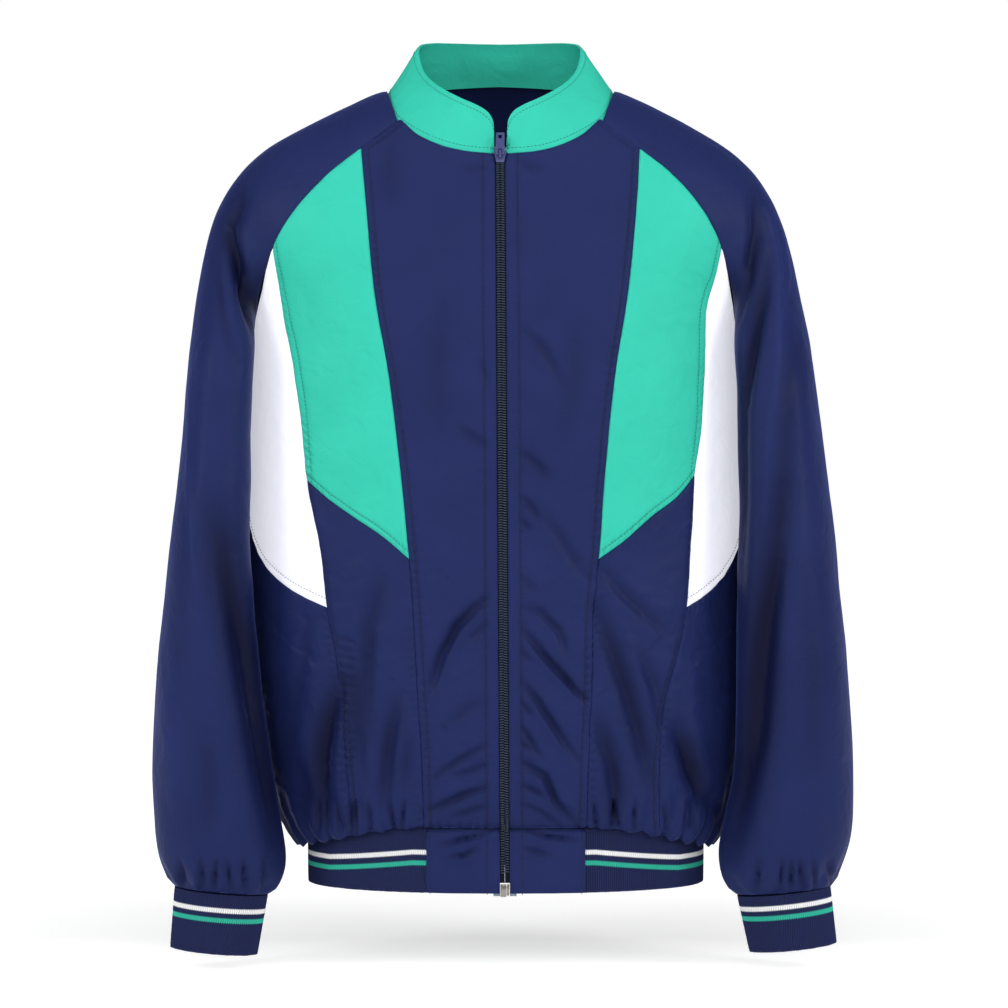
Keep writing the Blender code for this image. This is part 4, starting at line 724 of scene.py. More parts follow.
def woven(name, colour, deep, painted_fold_colour, rough, bloom=None, weave=0.05, crumple=0.36):
    made, tree, shader = new_material(name, Roughness=rough, Sheen_Roughness=0.3)
    shader.inputs["Specular IOR Level"].default_value = 0.1
    if bloom:
        shader.inputs["Sheen Weight"].default_value = 0.5
        shader.inputs["Sheen Tint"].default_value = linear(bloom)
    spot = add(tree, "ShaderNodeTexCoord")
    mottle = add(
        tree, "ShaderNodeTexNoise", {"Vector": spot.outputs["Object"], "Scale": 22.0, "Detail": 3.0}
    )
    tint = add(
        tree,
        "ShaderNodeMix",
        {"Factor": mottle.outputs["Fac"], 6: linear(deep), 7: linear(colour)},
        data_type="RGBA",
    )
    # painted shade: the crease shade mixes the base colour towards the fold colour, and a ridge's shade
    # below 0 paints it lighter
    in_fold = add(tree, "ShaderNodeAttribute", attribute_name="painted_fold_shade")
    shaded = add(
        tree,
        "ShaderNodeMix",
        {"Factor": in_fold.outputs["Fac"], 6: tint.outputs[2], 7: linear(painted_fold_colour)},
        data_type="RGBA",
        clamp_factor=False,
    )
    tree.links.new(shaded.outputs[2], shader.inputs["Base Color"])
    uv = add(tree, "ShaderNodeUVMap", uv_map="cloth_mm")
    waves = []
    for direction in ("X", "Y"):
        wave = add(
            tree,
            "ShaderNodeTexWave",
            {
                "Vector": uv.outputs["UV"],
                "Scale": WAVE_BAND / THREAD_PITCH,
                "Distortion": 0.6,
                "Detail": 0.0,
            },
            bands_direction=direction,
        )
        waves.append(wave.outputs["Fac"])
    weft = maths(tree, "MULTIPLY", waves[0], waves[1])
    bump = add(tree, "ShaderNodeBump", {"Height": weft.outputs[0], "Strength": weave, "Distance": 0.0002})
    crush = add(
        tree,
        "ShaderNodeTexNoise",
        {
            "Vector": spot.outputs["Object"],
            "Scale": 48.0,
            "Detail": 4.0,
            "Roughness": 0.5,
            "Distortion": 0.9,
        },
    )
    wrinkled = add(
        tree,
        "ShaderNodeBump",
        {
            "Height": crush.outputs["Fac"],
            "Normal": bump.outputs["Normal"],
            "Strength": crumple,
            "Distance": 0.004,
        },
    )
    tree.links.new(wrinkled.outputs["Normal"], shader.inputs["Normal"])
    return made


# the third colour of each cloth is the painted shade deep in a fold
navy_cloth = woven("navy polyester taffeta", "#202B5D", "#1C2553", "#0C1130", 0.5, "#6474C4")
green_cloth = woven("mint green polyester taffeta", "#38C8AF", "#32BDA5", "#188070", 0.5)
white_cloth = woven("white polyester taffeta", "#C9C9D2", "#C2C2CC", "#8A8A98", 0.6)
# White cloth is given a painted glow, a little emission, so even its shaded side stays white.
glowing_white_shader = white_cloth.node_tree.nodes["Principled BSDF"]
glowing_white_shader.inputs["Emission Color"].default_value = linear("#F4F6FF")
glowing_white_shader.inputs["Emission Strength"].default_value = WHITE_GLOW
print("woven cloths:", navy_cloth.name, "/", green_cloth.name, "/", white_cloth.name)

# %% [markdown]
# ### Rib knit with two stripes
# The cuffs and the hem are knitted two-by-two, so matt ribs stand with valleys between, which painted
# shade darkens. The stripes are courses of white and mint yarn. Their edges step with the stitches, which a
# small zigzag on each rib gives.

# %% Rib knit
RIB_PITCH = 1.9
ZIGZAG = 0.3  # the stripes' edges step up and down by this much from rib to valley
SAG_FROM, SAG_TO = 0.075, 0.145  # metres beside the middle: from here to there the hem's stripes sink
VALLEY_PAINTED_SHADE = 0.65
STRIPE_EDGE = 0.3  # how far a stripe fades on either side of its edge
COURSE_PITCH = 1.1


def knit(name, white_at, green_at, sag=0.0, stripe_half=1.9):
    """The knit's colour over the height above its foot, in millimetres, with a white and a green stripe."""
    made, tree, shader = new_material(name, Roughness=0.9, Sheen_Weight=0.03, Sheen_Roughness=0.5)
    shader.inputs["Sheen Tint"].default_value = linear("#7A86B8")
    uv = add(tree, "ShaderNodeUVMap", uv_map="cloth_mm")
    parts = add(tree, "ShaderNodeSeparateXYZ", {"Vector": uv.outputs["UV"]})
    turn = maths(tree, "MULTIPLY", parts.outputs["X"], 2 * math.pi / RIB_PITCH)
    rib = maths(tree, "COSINE", turn.outputs[0])
    step = maths(tree, "MULTIPLY_ADD", rib.outputs[0], ZIGZAG, parts.outputs["Y"])
    shader.inputs["Specular IOR Level"].default_value = 0.2
    spot = add(tree, "ShaderNodeTexCoord")
    sides = add(tree, "ShaderNodeSeparateXYZ", {"Vector": spot.outputs["Object"]})
    far = maths(tree, "ABSOLUTE", sides.outputs["X"])
    lower = map_range(tree, far.outputs[0], SAG_FROM, SAG_TO, 0.0, sag)
    height = maths(tree, "ADD", step.outputs[0], lower.outputs[0])
    inner, outer = stripe_half - STRIPE_EDGE, stripe_half + STRIPE_EDGE
    colour = linear("#222A54")
    for at, yarn in ((white_at, "#FFFFFF"), (green_at, "#37BFA4")):
        away = maths(tree, "SUBTRACT", height.outputs[0], at)
        size = maths(tree, "ABSOLUTE", away.outputs[0])
        edge = map_range(tree, size.outputs[0], inner, outer, 1.0, 0.0)
        mixed = add(
            tree, "ShaderNodeMix", {"Factor": edge.outputs[0], 6: colour, 7: linear(yarn)}, data_type="RGBA"
        )
        colour = mixed.outputs[2]
    # painted shade: the colour is darkened in the valleys between the ribs
    valley = map_range(tree, rib.outputs[0], -1.0, 0.2, VALLEY_PAINTED_SHADE, 1.0)
    grey = add(tree, "ShaderNodeCombineColor", {channel: valley.outputs[0] for channel in range(3)})
    shaded = add(
        tree,
        "ShaderNodeMix",
        {"Factor": 1.0, 6: colour, 7: grey.outputs[0]},
        data_type="RGBA",
        blend_type="MULTIPLY",
    )
    tree.links.new(shaded.outputs[2], shader.inputs["Base Color"])
    courses = add(
        tree,
        "ShaderNodeTexWave",
        {"Vector": uv.outputs["UV"], "Scale": WAVE_BAND / COURSE_PITCH, "Distortion": 0.0},
        bands_direction="Y",
    )
    bump = add(
        tree, "ShaderNodeBump", {"Height": courses.outputs["Fac"], "Strength": 0.4, "Distance": 0.0003}
    )
    tree.links.new(bump.outputs["Normal"], shader.inputs["Normal"])
    return made


HEM_STRIPES = (33.2, 24.4)
CUFF_STRIPES = (36.5, 28.4)
hem_knit = knit("striped rib knit of the hem", *HEM_STRIPES, sag=8.0)
cuff_knit = knit("striped rib knit of the cuffs", *CUFF_STRIPES)

# %% [markdown]
# ### Thread, tape, coil, metal and film
# Core-spun polyester thread is matt and darker than the cloth it sinks into. The zip's tape is a tight
# woven band, its coil a smooth nylon filament with a plastic gloss. The slider is cast zinc under a satin
# navy paint, and the box at the foot bright nickel plate. The stiffening film is clear and glossy.

# %% Trim materials
navy_thread, _, _ = new_material("navy polyester thread", Base_Color=linear("#12162E"), Roughness=0.7)
green_thread, _, _ = new_material("dark green polyester thread", Base_Color=linear("#1E7F70"), Roughness=0.7)
grey_thread, _, _ = new_material("grey polyester thread", Base_Color=linear("#8C8C96"), Roughness=0.7)
nylon_coil, _, _ = new_material("dark nylon coil", Base_Color=linear("#2C394C"), Roughness=0.3)
tape_cloth = woven("tight woven zip tape", "#161C2C", "#121724", "#0A0D16", 0.7, weave=0.3)
nickel, nickel_tree, nickel_shader = new_material(
    "bright nickel plate", Base_Color=linear("#A9A39B"), Metallic=1.0
)
nickel_spot = add(nickel_tree, "ShaderNodeTexCoord")
nickel_wear = add(
    nickel_tree, "ShaderNodeTexNoise", {"Vector": nickel_spot.outputs["Object"], "Scale": 900.0}
)
nickel_rough = map_range(nickel_tree, nickel_wear.outputs["Fac"], 0.0, 1.0, 0.16, 0.34)
nickel_tree.links.new(nickel_rough.outputs[0], nickel_shader.inputs["Roughness"])
painted_zinc, paint_tree, paint_shader = new_material(
    "satin navy paint on zinc", Base_Color=linear("#3A4175")
)
paint_shader.inputs["Coat Weight"].default_value = 0.3
paint_spot = add(paint_tree, "ShaderNodeTexCoord")
paint_grain = add(
    paint_tree, "ShaderNodeTexNoise", {"Vector": paint_spot.outputs["Object"], "Scale": 1500.0}
)
paint_rough = map_range(paint_tree, paint_grain.outputs["Fac"], 0.0, 1.0, 0.3, 0.45)
paint_tree.links.new(paint_rough.outputs[0], paint_shader.inputs["Roughness"])
clear_film, _, film_shader = new_material(
    "clear polyester film", Base_Color=linear("#C9E2F2"), Roughness=0.15
)
film_shader.inputs["Transmission Weight"].default_value = 0.6
print("trim materials made")

# %% [markdown]
# ## One function that makes a piece of cloth
# It takes the grid, adds the relief, draws the panel's edges in to the seam, and hands the result to the
# frame: the sheet rides on the jacket and stands for its plain solid, which it hides. Each edge rolls under
# at its seam, so a seam shows as a fine groove. Each sheet's cut size is printed.

# %% The cloth piece maker
grids = {}
SEAM_ROLL = {"deep": 0.9, "reach": 1.5}
FURROW = {"deep": 0.45, "half": 1.1}


def edge_distances(grid):
    """How far each grid point is from the first and last column, and from the first and last row."""
    across, along = run_lengths(grid, 1), run_lengths(grid, 0)
    return across, across[:, -1:] - across, along, along[-1:] - along


def roll(distances):
    return sum(-SEAM_ROLL["deep"] * bell(gap / SEAM_ROLL["reach"]) for gap in distances)


def dress(name, node, grid, normals, material, thickness=CLOTH, shade=None):
    mesh = sheet_mesh(name, grid, normals, thickness, shade=shade)
    mesh.materials.append(material)
    piece = bpy.data.objects.new(name, mesh)
    bpy.context.scene.collection.objects.link(piece)
    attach(piece, "jacket")
    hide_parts(node)
    across, along = run_lengths(grid, 1), run_lengths(grid, 0)
    cell = np.linalg.norm(np.cross(grid[1:, :-1] - grid[:-1, :-1], grid[:-1, 1:] - grid[:-1, :-1]), axis=-1)
    flat = (round(float(across[:, -1].max()) * MM, 3), round(float(along[-1].max()) * MM, 3))
    flat_area = float(cell.sum()) * MM * MM
    flat_area = min(max(flat_area, 0.31 * flat[0] * flat[1]), flat[0] * flat[1])
    grids[name] = grid, normals
    print(f"{name}: {len(mesh.polygons)} faces, cut {flat[0] * 1000:.0f} x {flat[1] * 1000:.0f} mm")
    return piece


def shrink_to_seams(grid):
    """Moves the outermost points in by the seam gap."""
    grid = grid.copy()
    grid[:, 0] += SEAM_GAP * unit(grid[:, 1] - grid[:, 0])
    grid[:, -1] += SEAM_GAP * unit(grid[:, -2] - grid[:, -1])
    grid[0] += SEAM_GAP * unit(grid[1] - grid[0])
    grid[-1] += SEAM_GAP * unit(grid[-2] - grid[-1])
    return grid


def groove(gap, inset):
    """The fine furrow that a row of stitches draws into the cloth, inset millimetres inside an edge."""
    return -FURROW["deep"] * bell((gap - inset) / FURROW["half"])


SIDE_FULLNESS, SIDE_TURN = 6.5, 26
# over the tape the front lies flat; relief grows beside it
BESIDE_ZIP = {"tape": 9.5, "push": 7.0, "shade": 5.0}
NO_GATHERS = 17  # the gathers start this many degrees beside the middle of the front
SLACKNESS = {"broad": 1.1, "fine": 0.35}
# painted shade: the puckers' troughs and the stitch furrows darken the cloth's colour
SEWN_SHADE = {"pucker": 0.6, "furrow": 0.7}  # how dark a millimetre of depth looks beside stitches


def side_fullness(angles, levels):
    """The body's sides fill out under the arms, where a wearer's elbows leave room for them."""
    turned = bell((np.abs((angles + 180) % 360 - 180) - 90) / SIDE_TURN)
    under_arm, over_hem = np.clip((-250 - levels) / 120, 0, 1), np.clip((levels + 600) / 40, 0, 1)
    return SIDE_FULLNESS * turned * under_arm * over_hem


def body_sheet(name, node, angles, levels, material, puckers=(), rows=(), slack=1.0):
    """A panel on the body from grids of angles and levels.

    puckers names the edges whose seams draw the cloth up.
    rows holds (edge, inset) for each row of topstitching.
    """
    grid = body_points(angles, levels)
    outward = grid * np.array([1.0, 1.0, 0.0])
    normals = grid_normals(grid, outward)
    flat_points, flat_normals = grid.reshape(-1, 3), normals.reshape(-1, 3)
    creased = crease_push(flat_points, flat_normals, "body")
    push, shade = (values.reshape(grid.shape[:2]) for values in creased)
    heights = levels - HEM_SEAM
    gathered = np.clip((np.abs(angles) - NO_GATHERS) / 12, 0, 1)
    push += gathered * gather_push(angles / 360, heights, HEM_GATHERS)
    push += slack * SLACKNESS["broad"] * perlin(flat_points, 42.0, 1.0).reshape(push.shape)
    push += slack * SLACKNESS["fine"] * perlin(flat_points, 13.0, 2.0).reshape(push.shape)
    push += slack * crinkle(flat_points).reshape(push.shape)
    first, last, foot, top = edge_distances(grid)
    runs = {"first": (foot, first), "last": (foot, last), "foot": (first, foot), "top": (first, top)}
    for seed, edge in enumerate(puckers):
        along, away = runs[edge]
        ripple = pucker_push(along, away, seed + len(name))
        push += ripple
        shade += np.clip(-ripple * SEWN_SHADE["pucker"], 0, 0.5)
    push *= np.clip(heights / 4.0, 0.0, 1.0)
    beside_zip = np.hypot(grid[..., 0], np.maximum(grid[..., 1], 0)) - BESIDE_ZIP["tape"]
    push *= np.clip(beside_zip / BESIDE_ZIP["push"], 0.12, 1.0)
    shade *= np.clip(beside_zip / BESIDE_ZIP["shade"], 0.0, 1.0)
    push += side_fullness(angles, levels)
    for edge, inset in rows:
        along, away = runs[edge]
        ripple = pucker_push(along, away - inset, inset, depth=0.3, reach=4.5)
        furrow = groove(away, inset)
        push += furrow + ripple
        shade += np.clip(-ripple * SEWN_SHADE["pucker"], 0, 0.5) - furrow * SEWN_SHADE["furrow"]
    push += roll((first, last, foot, top))
    moved = shrink_to_seams(grid + normals * push[..., None])
    return dress(name, node, moved, normals, material, shade=shade)


# %% [markdown]
# ## The centre fronts
# Each runs from the zip to the long seam, and up to the neck. Its columns keep the same share of the
# width at every level, and each ends where it meets the curved neckline.

# %% Centre fronts
FRONT_COLUMNS, FRONT_ROWS = 54, 285


def centre_front(side):
    neck_levels = np.linspace(LOWEST_NECK, -25.0, 129)
    shares = np.linspace(0, 1, 129)
    yoke = np.linspace(0, YOKE_SHARE, 65)
    yoke_levels, yoke_x = RAGLAN["front"]["level"](yoke), RAGLAN["front"][side](yoke)

    def far(level):
        above = np.interp(level, yoke_levels[::-1], yoke_x[::-1])
        return np.where(level < LONG_TOP, LONG_SEAM[side](level), above)

    start = zip_edge(side, LOWEST_NECK)
    neck_x = start + (yoke_x[0] - start) * np.interp(neck_levels, NECK_EDGE["level"](shares), shares)
    edge = zip_edge(side, neck_levels)
    column_of = (neck_x - edge) / (far(neck_levels) - edge)
    u = np.linspace(0, 1, FRONT_COLUMNS + 1)
    tops = np.interp(u, column_of, neck_levels)
    v = np.linspace(0, 1, FRONT_ROWS + 1)[:, None]
    levels = HEM_SEAM + (tops[None, :] - HEM_SEAM) * v
    xs = zip_edge(side, levels) + (far(levels) - zip_edge(side, levels)) * u[None, :]
    name, node = f"centre_front_{side}", f"front_centre_{side}"
    rows = ("first", 10.5), ("last", 6.0)
    return body_sheet(
        name, node, angle_at(xs, levels), levels, navy_cloth, ("last", "foot"), rows
    )


for side in SIDES:
    centre_front(side)

# %% [markdown]
# ## Chest, side and lower panels
# Each is a patch between four seams. A Coons patch blends the four edges, so its inside follows all of
# them. Those with slanted feet are filled as seen from the front, and those that turn round the side by
# angle.


# %% Coons patches
def coons(left, right, bottom, top):
    """A grid of 2-D places between four edges, each an array of points; left and right run upwards."""
    t = np.linspace(0, 1, len(left))[:, None, None]
    s = np.linspace(0, 1, len(bottom))[None, :, None]
    flat = left[:, None] * (1 - s) + right[:, None] * s
    tall = bottom[None] * (1 - t) + top[None] * t
    low = left[0] * (1 - s) + right[0] * s
    high = left[-1] * (1 - s) + right[-1] * s
    return flat + tall - low * (1 - t) - high * t


def seam_run(seam, side, low, high, count):
    """A seam's (x, level) from one level up to another."""
    levels = np.linspace(low, high, count + 1)
    return np.column_stack([seam[side](levels), levels])


def patch_from_front(name, node, edges, material, puckers, rows):
    places = coons(*edges)
    angles = angle_at(places[..., 0], places[..., 1])
    return body_sheet(name, node, angles, places[..., 1], material, puckers, rows)


def patch_by_angle(name, node, edges, material, puckers, rows=()):
    places = coons(*edges)
    return body_sheet(name, node, places[..., 0], places[..., 1], material, puckers, rows)


# %% [markdown]
# ### The green chest panels and the navy below them
# A chest panel hangs from the raglan seam to its slanted foot, between the long seam and the side-front
# seam. The lower front panel fills the same strip down to the hem.

# %% Chest and lower front panels
def chest_foot(side, count):
    share = np.linspace(0, 1, count + 1)
    apex, corner = CHEST_FOOT[side](0.0), CHEST_FOOT[side](1.0)
    x = LONG_SEAM[side](apex) + (SIDE_SEAM[side](corner) - LONG_SEAM[side](apex)) * share
    return np.column_stack([x, CHEST_FOOT[side](share)])


def chest_panel(side, rows=135, cols=42):
    foot = chest_foot(side, cols)
    along = YOKE_SHARE + (CHEST_SHARE - YOKE_SHARE) * np.linspace(0, 1, cols + 1)
    top = np.column_stack([RAGLAN["front"][side](along), RAGLAN["front"]["level"](along)])
    left = seam_run(LONG_SEAM, side, foot[0, 1], LONG_TOP, rows)
    right = seam_run(SIDE_SEAM, side, foot[-1, 1], SIDE_TOP, rows)
    edges, tucks, stitched = (left, right, foot, top), ("last", "foot"), (("last", 8.0), ("foot", 6.5))
    name, node = f"chest_{side}", f"chest_panel_{side}"
    return patch_from_front(name, node, edges, green_cloth, tucks, stitched)


def lower_front(side, rows=126, cols=36):
    top = chest_foot(side, cols)
    left = seam_run(LONG_SEAM, side, HEM_SEAM, top[0, 1], rows)
    right = seam_run(SIDE_SEAM, side, HEM_SEAM, top[-1, 1], rows)
    ends = angle_at(left[0, 0], HEM_SEAM), angle_at(right[0, 0], HEM_SEAM)
    hem_angles = np.linspace(*ends, cols + 1)
    hem_levels = np.full(cols + 1, HEM_SEAM)
    foot = np.column_stack([body_points(hem_angles, hem_levels)[:, 0], hem_levels])
    edges = left, right, foot, top
    puckers = ("first", "last", "foot", "top")
    name, node = f"front_lower_{side}", f"lower_front_{side}"
    return patch_from_front(name, node, edges, navy_cloth, puckers, (("last", 4.5),))


for side in SIDES:
    chest_panel(side)
    lower_front(side)


# %% [markdown]
# ### The white side panels and the navy below them
# A side panel reaches from the side-front seam to the seam straight under the arm, down to a curved foot.
# The panel under it ends at the hem, and the closed pocket mouth lies along its front edge.

# %% Side and lower side panels
def side_foot(side, count):
    share = np.linspace(0, 1, count + 1)
    tip = SIDE_FOOT[side](0.0)
    start = angle_at(SIDE_SEAM[side](tip), tip)
    return np.column_stack([start + (90.0 * SIDES[side] - start) * share, SIDE_FOOT[side](share)])


def by_angle(run):
    return np.column_stack([angle_at(run[:, 0], run[:, 1]), run[:, 1]])


def side_panel(side, rows=120, cols=42):
    foot = side_foot(side, cols)
    along = CHEST_SHARE + (1 - CHEST_SHARE) * np.linspace(0, 1, cols + 1)
    top = np.column_stack(raglan_place(side, "front", along))
    left = by_angle(seam_run(SIDE_SEAM, side, foot[0, 1], SIDE_TOP, rows))
    right = np.column_stack([np.full(rows + 1, foot[-1, 0]), np.linspace(foot[-1, 1], UNDERARM, rows + 1)])
    top[0], top[-1] = left[-1], right[-1]
    edges = left, right, foot, top
    name, node = f"side_{side}", f"side_panel_{side}"
    panel = patch_by_angle(name, node, edges, white_cloth, ("foot",), (("foot", 8.0),))
    panel.visible_diffuse = False  # it throws no light back on the dark sleeve beside it
    return panel


def lower_side(side, rows=120, cols=60):
    top = side_foot(side, cols)
    left = by_angle(seam_run(SIDE_SEAM, side, HEM_SEAM, top[0, 1], rows))
    right = np.column_stack([np.full(rows + 1, top[-1, 0]), np.linspace(HEM_SEAM, top[-1, 1], rows + 1)])
    foot = np.column_stack([np.linspace(left[0, 0], right[0, 0], cols + 1), np.full(cols + 1, HEM_SEAM)])
    edges = left, right, foot, top
    puckers = ("first", "foot", "top")
    return patch_by_angle(
        f"side_lower_{side}", f"lower_side_{side}", edges, navy_cloth, puckers
    )


for side in SIDES:
    side_panel(side)
    lower_side(side)

# %% [markdown]
# ## The back
# One piece: it rises straight from the hem between the side seams, then narrows between the two raglan
# seams.

# %% Back
BACK_COLUMNS = 210
BACK_LOWER_ROWS, BACK_UPPER_ROWS = 180, 120
BACK_NECK_RISE = 6.0  # the neckline is a little higher at the middle of the back than beside it
RISE_LEVELS = {"from": -30, "run": 47}
RAGLAN_START = 0.012  # the share of the raglan seam at which the back and the sleeves start


def back_sheet():
    low = np.linspace(HEM_SEAM, UNDERARM, BACK_LOWER_ROWS + 1)[:-1]
    along = np.linspace(1.0, RAGLAN_START, BACK_UPPER_ROWS + 1)
    left_angle, left_level = raglan_place("left", "back", along)
    right_angle, right_level = raglan_place("right", "back", along)
    left_turns = np.concatenate([np.full(len(low), 90.0), left_angle])
    right_turns = np.concatenate([np.full(len(low), 270.0), right_angle + 360])
    starts = np.column_stack([left_turns, np.concatenate([low, left_level])])
    ends = np.column_stack([right_turns, np.concatenate([low, right_level])])
    share = np.linspace(0, 1, BACK_COLUMNS + 1)[None, :, None]
    places = starts[:, None] * (1 - share) + ends[:, None] * share
    high = np.clip((places[..., 1] - RISE_LEVELS["from"]) / RISE_LEVELS["run"], 0, 1) ** 2
    places[..., 1] += BACK_NECK_RISE * high * np.sin(np.pi * share[..., 0]) ** 0.8
    angles, levels = places[..., 0], places[..., 1]
    puckers = ("foot", "first", "last")
    return body_sheet("back_sheet", "back", angles, levels, navy_cloth, puckers)


back_sheet()

# %% [markdown]
# ## The sleeves
# A raglan sleeve is an arch over the shoulder above the underarm, and a tube below it. The arches leave
# the body along its own surface at the raglan seam, so the shoulder is one smooth form. The tube's
# sections are named by their innermost, foremost, outermost and hindmost points, and narrow into the
# cuff.

# %% Sleeve tables
TOP_LINE = columns(
    table(
        "along z right left y",
        [
            (0, 7, -94, 89, 2),
            (0.05, -2, -118, 111, 2),
            (0.1, -13, -141, 133, 2),
            (0.2, -27, -170, 160, 0),
            (0.32, -46, -203, 191, -3),
            (0.44, -72, -229, 216, -6),
            (0.58, -106, -246, 234, -9),
            (0.74, -148, -256, 246, -12),
            (0.88, -184, -261.5, 253, -15),
            (1, -213, -264.5, 258.5, -17),
        ],
    ),
    "along",
)
SLEEVE_COLUMNS = "level inner inner_y outer outer_y front_x front back_x back rise"
SLEEVE = {
    "right": columns(
        table(
            SLEEVE_COLUMNS,
            [
                (-213, -206, -80, -264.5, -17, -234, -103, -240, 72, 0.0),
                (-258, -208, -84, -268.0, -18, -240, -108, -244, 74, 0.0),
                (-300, -209.5, -84, -272.0, -20, -243, -111, -247, 72, 0.0),
                (-360, -209.5, -86, -278.5, -24, -246, -117, -250, 66, 0.0),
                (-420, -206.5, -88, -285.0, -28, -247, -123, -252, 56, 0.0),
                (-500, -199, -84, -292.0, -34, -246, -124, -250, 40, 0.01),
                (-560, -191, -78, -294.0, -42, -242, -122, -246, 24, 0.03),
                (-605, -184, -70, -292.5, -50, -239, -118, -242, 8, 0.05),
                (-632, -180, -66, -290.0, -54, -236, -113, -238, -4, 0.07),
                (-648, -181, -65, -286.0, -56, -235, -108, -237, -12, 0.08),
                (-658, -187, -63, -280.0, -57, -235, -101, -237, -20, 0.09),
                (-667, -195, -62, -275.5, -58, -236, -92, -238, -28, 0.09),
            ],
        ),
        "level",
    ),
    "left": columns(
        table(
            SLEEVE_COLUMNS,
            [
                (-213, 189, -82, 258.5, -17, 224, -105, 234, 72, 0.0),
                (-258, 192, -84, 264.0, -18, 229, -110, 238, 74, 0.0),
                (-300, 193, -84, 269.0, -20, 233, -113, 242, 72, 0.0),
                (-360, 193.5, -86, 276.5, -24, 238, -119, 246, 66, 0.0),
                (-420, 191.5, -88, 282.5, -28, 241, -124, 248, 56, 0.0),
                (-500, 190.5, -84, 289.5, -34, 242, -125, 248, 40, 0.01),
                (-560, 190, -80, 292.5, -42, 239, -122, 245, 24, 0.03),
                (-605, 181, -70, 292.0, -50, 237, -118, 241, 8, 0.05),
                (-632, 176, -66, 289.0, -54, 234, -113, 237, -4, 0.07),
                (-648, 178, -65, 283.0, -56, 232, -108, 235, -12, 0.08),
                (-658, 183, -63, 277.5, -57, 232, -101, 235, -20, 0.09),
                (-667, 192, -62, 274.0, -58, 233, -92, 235, -28, 0.09),
            ],
        ),
        "level",
    ),
}
HALF_COLUMNS = 96  # round half of a sleeve
ARCH_ROWS, TUBE_ROWS = 114, 198
SLEEVE_FOOT = -667.0
CURVE_POINTS = 129


# %% [markdown]
# ### A sleeve's sections
# Below the underarm a section is an oval, fuller on its outside than toward the body. Above, a curve
# leaves the body's surface at the raglan seam and rolls over the top line. The last of the arches blend
# into the first oval.

# %% Sleeve sections
FULL, SLIM = 0.58, 0.2  # how far a quarter bulges; the one between the back and the body is slim


def along_path(points, count):
    """count + 1 points spread evenly along a path."""
    run = np.concatenate([[0], np.cumsum(np.linalg.norm(np.diff(points, axis=0), axis=1))])
    spots = np.linspace(0, run[-1], count + 1)
    return np.column_stack([np.interp(spots, run, points[:, i]) for i in range(3)])


def oval(side, level):
    """A sleeve's section, round from the underarm seam by the front, the outside and the back."""
    row = {name: float(at(level)) for name, at in SLEEVE[side].items()}
    inner, front = np.array([row["inner"], row["inner_y"]]), np.array([row["front_x"], row["front"]])
    outer, back = np.array([row["outer"], row["outer_y"]]), np.array([row["back_x"], row["back"]])
    quarters = [
        (inner, front, (0, 1), FULL),
        (front, outer, (1, 0), FULL),
        (outer, back, (0, 1), FULL),
        (back, inner, (1, 0), SLIM),
    ]
    t = np.linspace(0, 1, 61)[:-1, None]
    points = []
    for start, end, way, full in quarters:
        way = np.array(way)
        leave = start + full * (end - start) * way
        arrive = end - full * (end - start) * (1 - way)
        bend = 3 * (1 - t) ** 2 * t * leave + 3 * (1 - t) * t * t * arrive
        points.append((1 - t) ** 3 * start + bend + t**3 * end)
    points = np.vstack(points)
    seam = 180 + int(np.argmin(np.abs(points[180:, 1])))
    points = np.roll(points, -seam, axis=0)
    points = np.vstack([points, points[:1]])
    middle = (row["inner"] + row["outer"]) / 2
    z = level + row["rise"] * (points[:, 0] - middle) * SIDES[side]
    return np.column_stack([points, z])


def halves(side, level):
    ring = oval(side, level)
    outermost = int(np.argmax(np.abs(ring[:, 0])))
    return ring[: outermost + 1], ring[outermost:][::-1]


def top_point(side, along):
    return np.array([TOP_LINE[side](along), TOP_LINE["y"](along), TOP_LINE["z"](along)], float)


def near_first(points):
    """How much each point moves when the first one is drawn to the seam: 1 there, and nothing 60 mm away."""
    return bell(np.linalg.norm(points - points[0], axis=1) / 30)[:, None]


def body_normal(angle, level):
    along = body_points(angle + 0.5, level) - body_points(angle - 0.5, level)
    up = body_points(angle, min(level + 2, 30)) - body_points(angle, level - 2)
    return unit(np.cross(along, up))


def arch(side, face, along):
    """Half of a sleeve's arch above the underarm, from the raglan seam to the top line."""
    angle, level = raglan_place(side, face, along)
    start, end, normal = body_points(angle, level), top_point(side, along), body_normal(angle, level)
    chord = end - start
    leave = unit(chord - normal * np.dot(chord, normal)) * np.linalg.norm(chord)
    ahead = unit(top_point(side, min(along + 0.02, 1)) - top_point(side, max(along - 0.02, 0)))
    arrive = np.array([0, 1.0 if face == "front" else -1.0, 0])
    arrive = unit(arrive - ahead * np.dot(arrive, ahead)) * np.linalg.norm(chord)
    t = np.linspace(0, 1, CURVE_POINTS)[:, None]
    curve = start * (1 + 2 * t) * (1 - t) ** 2 + end * t * t * (3 - 2 * t)
    curve += leave * 1.15 * t * (1 - t) ** 2 - arrive * 1.15 * t * t * (1 - t)
    below = along_path(halves(side, UNDERARM)[face == "back"], CURVE_POINTS - 1)
    share = np.clip((along - 0.62) / 0.38, 0, 1) ** 1.2
    weight = np.repeat(1 - t, 3, axis=1)
    weight[:, :2] += share**3 * (near_first(below) - weight[:, :2])
    below = below + weight * (start - below[0]) + t * (end - below[-1])
    return along_path((1 - share) * curve + share * below, HALF_COLUMNS)


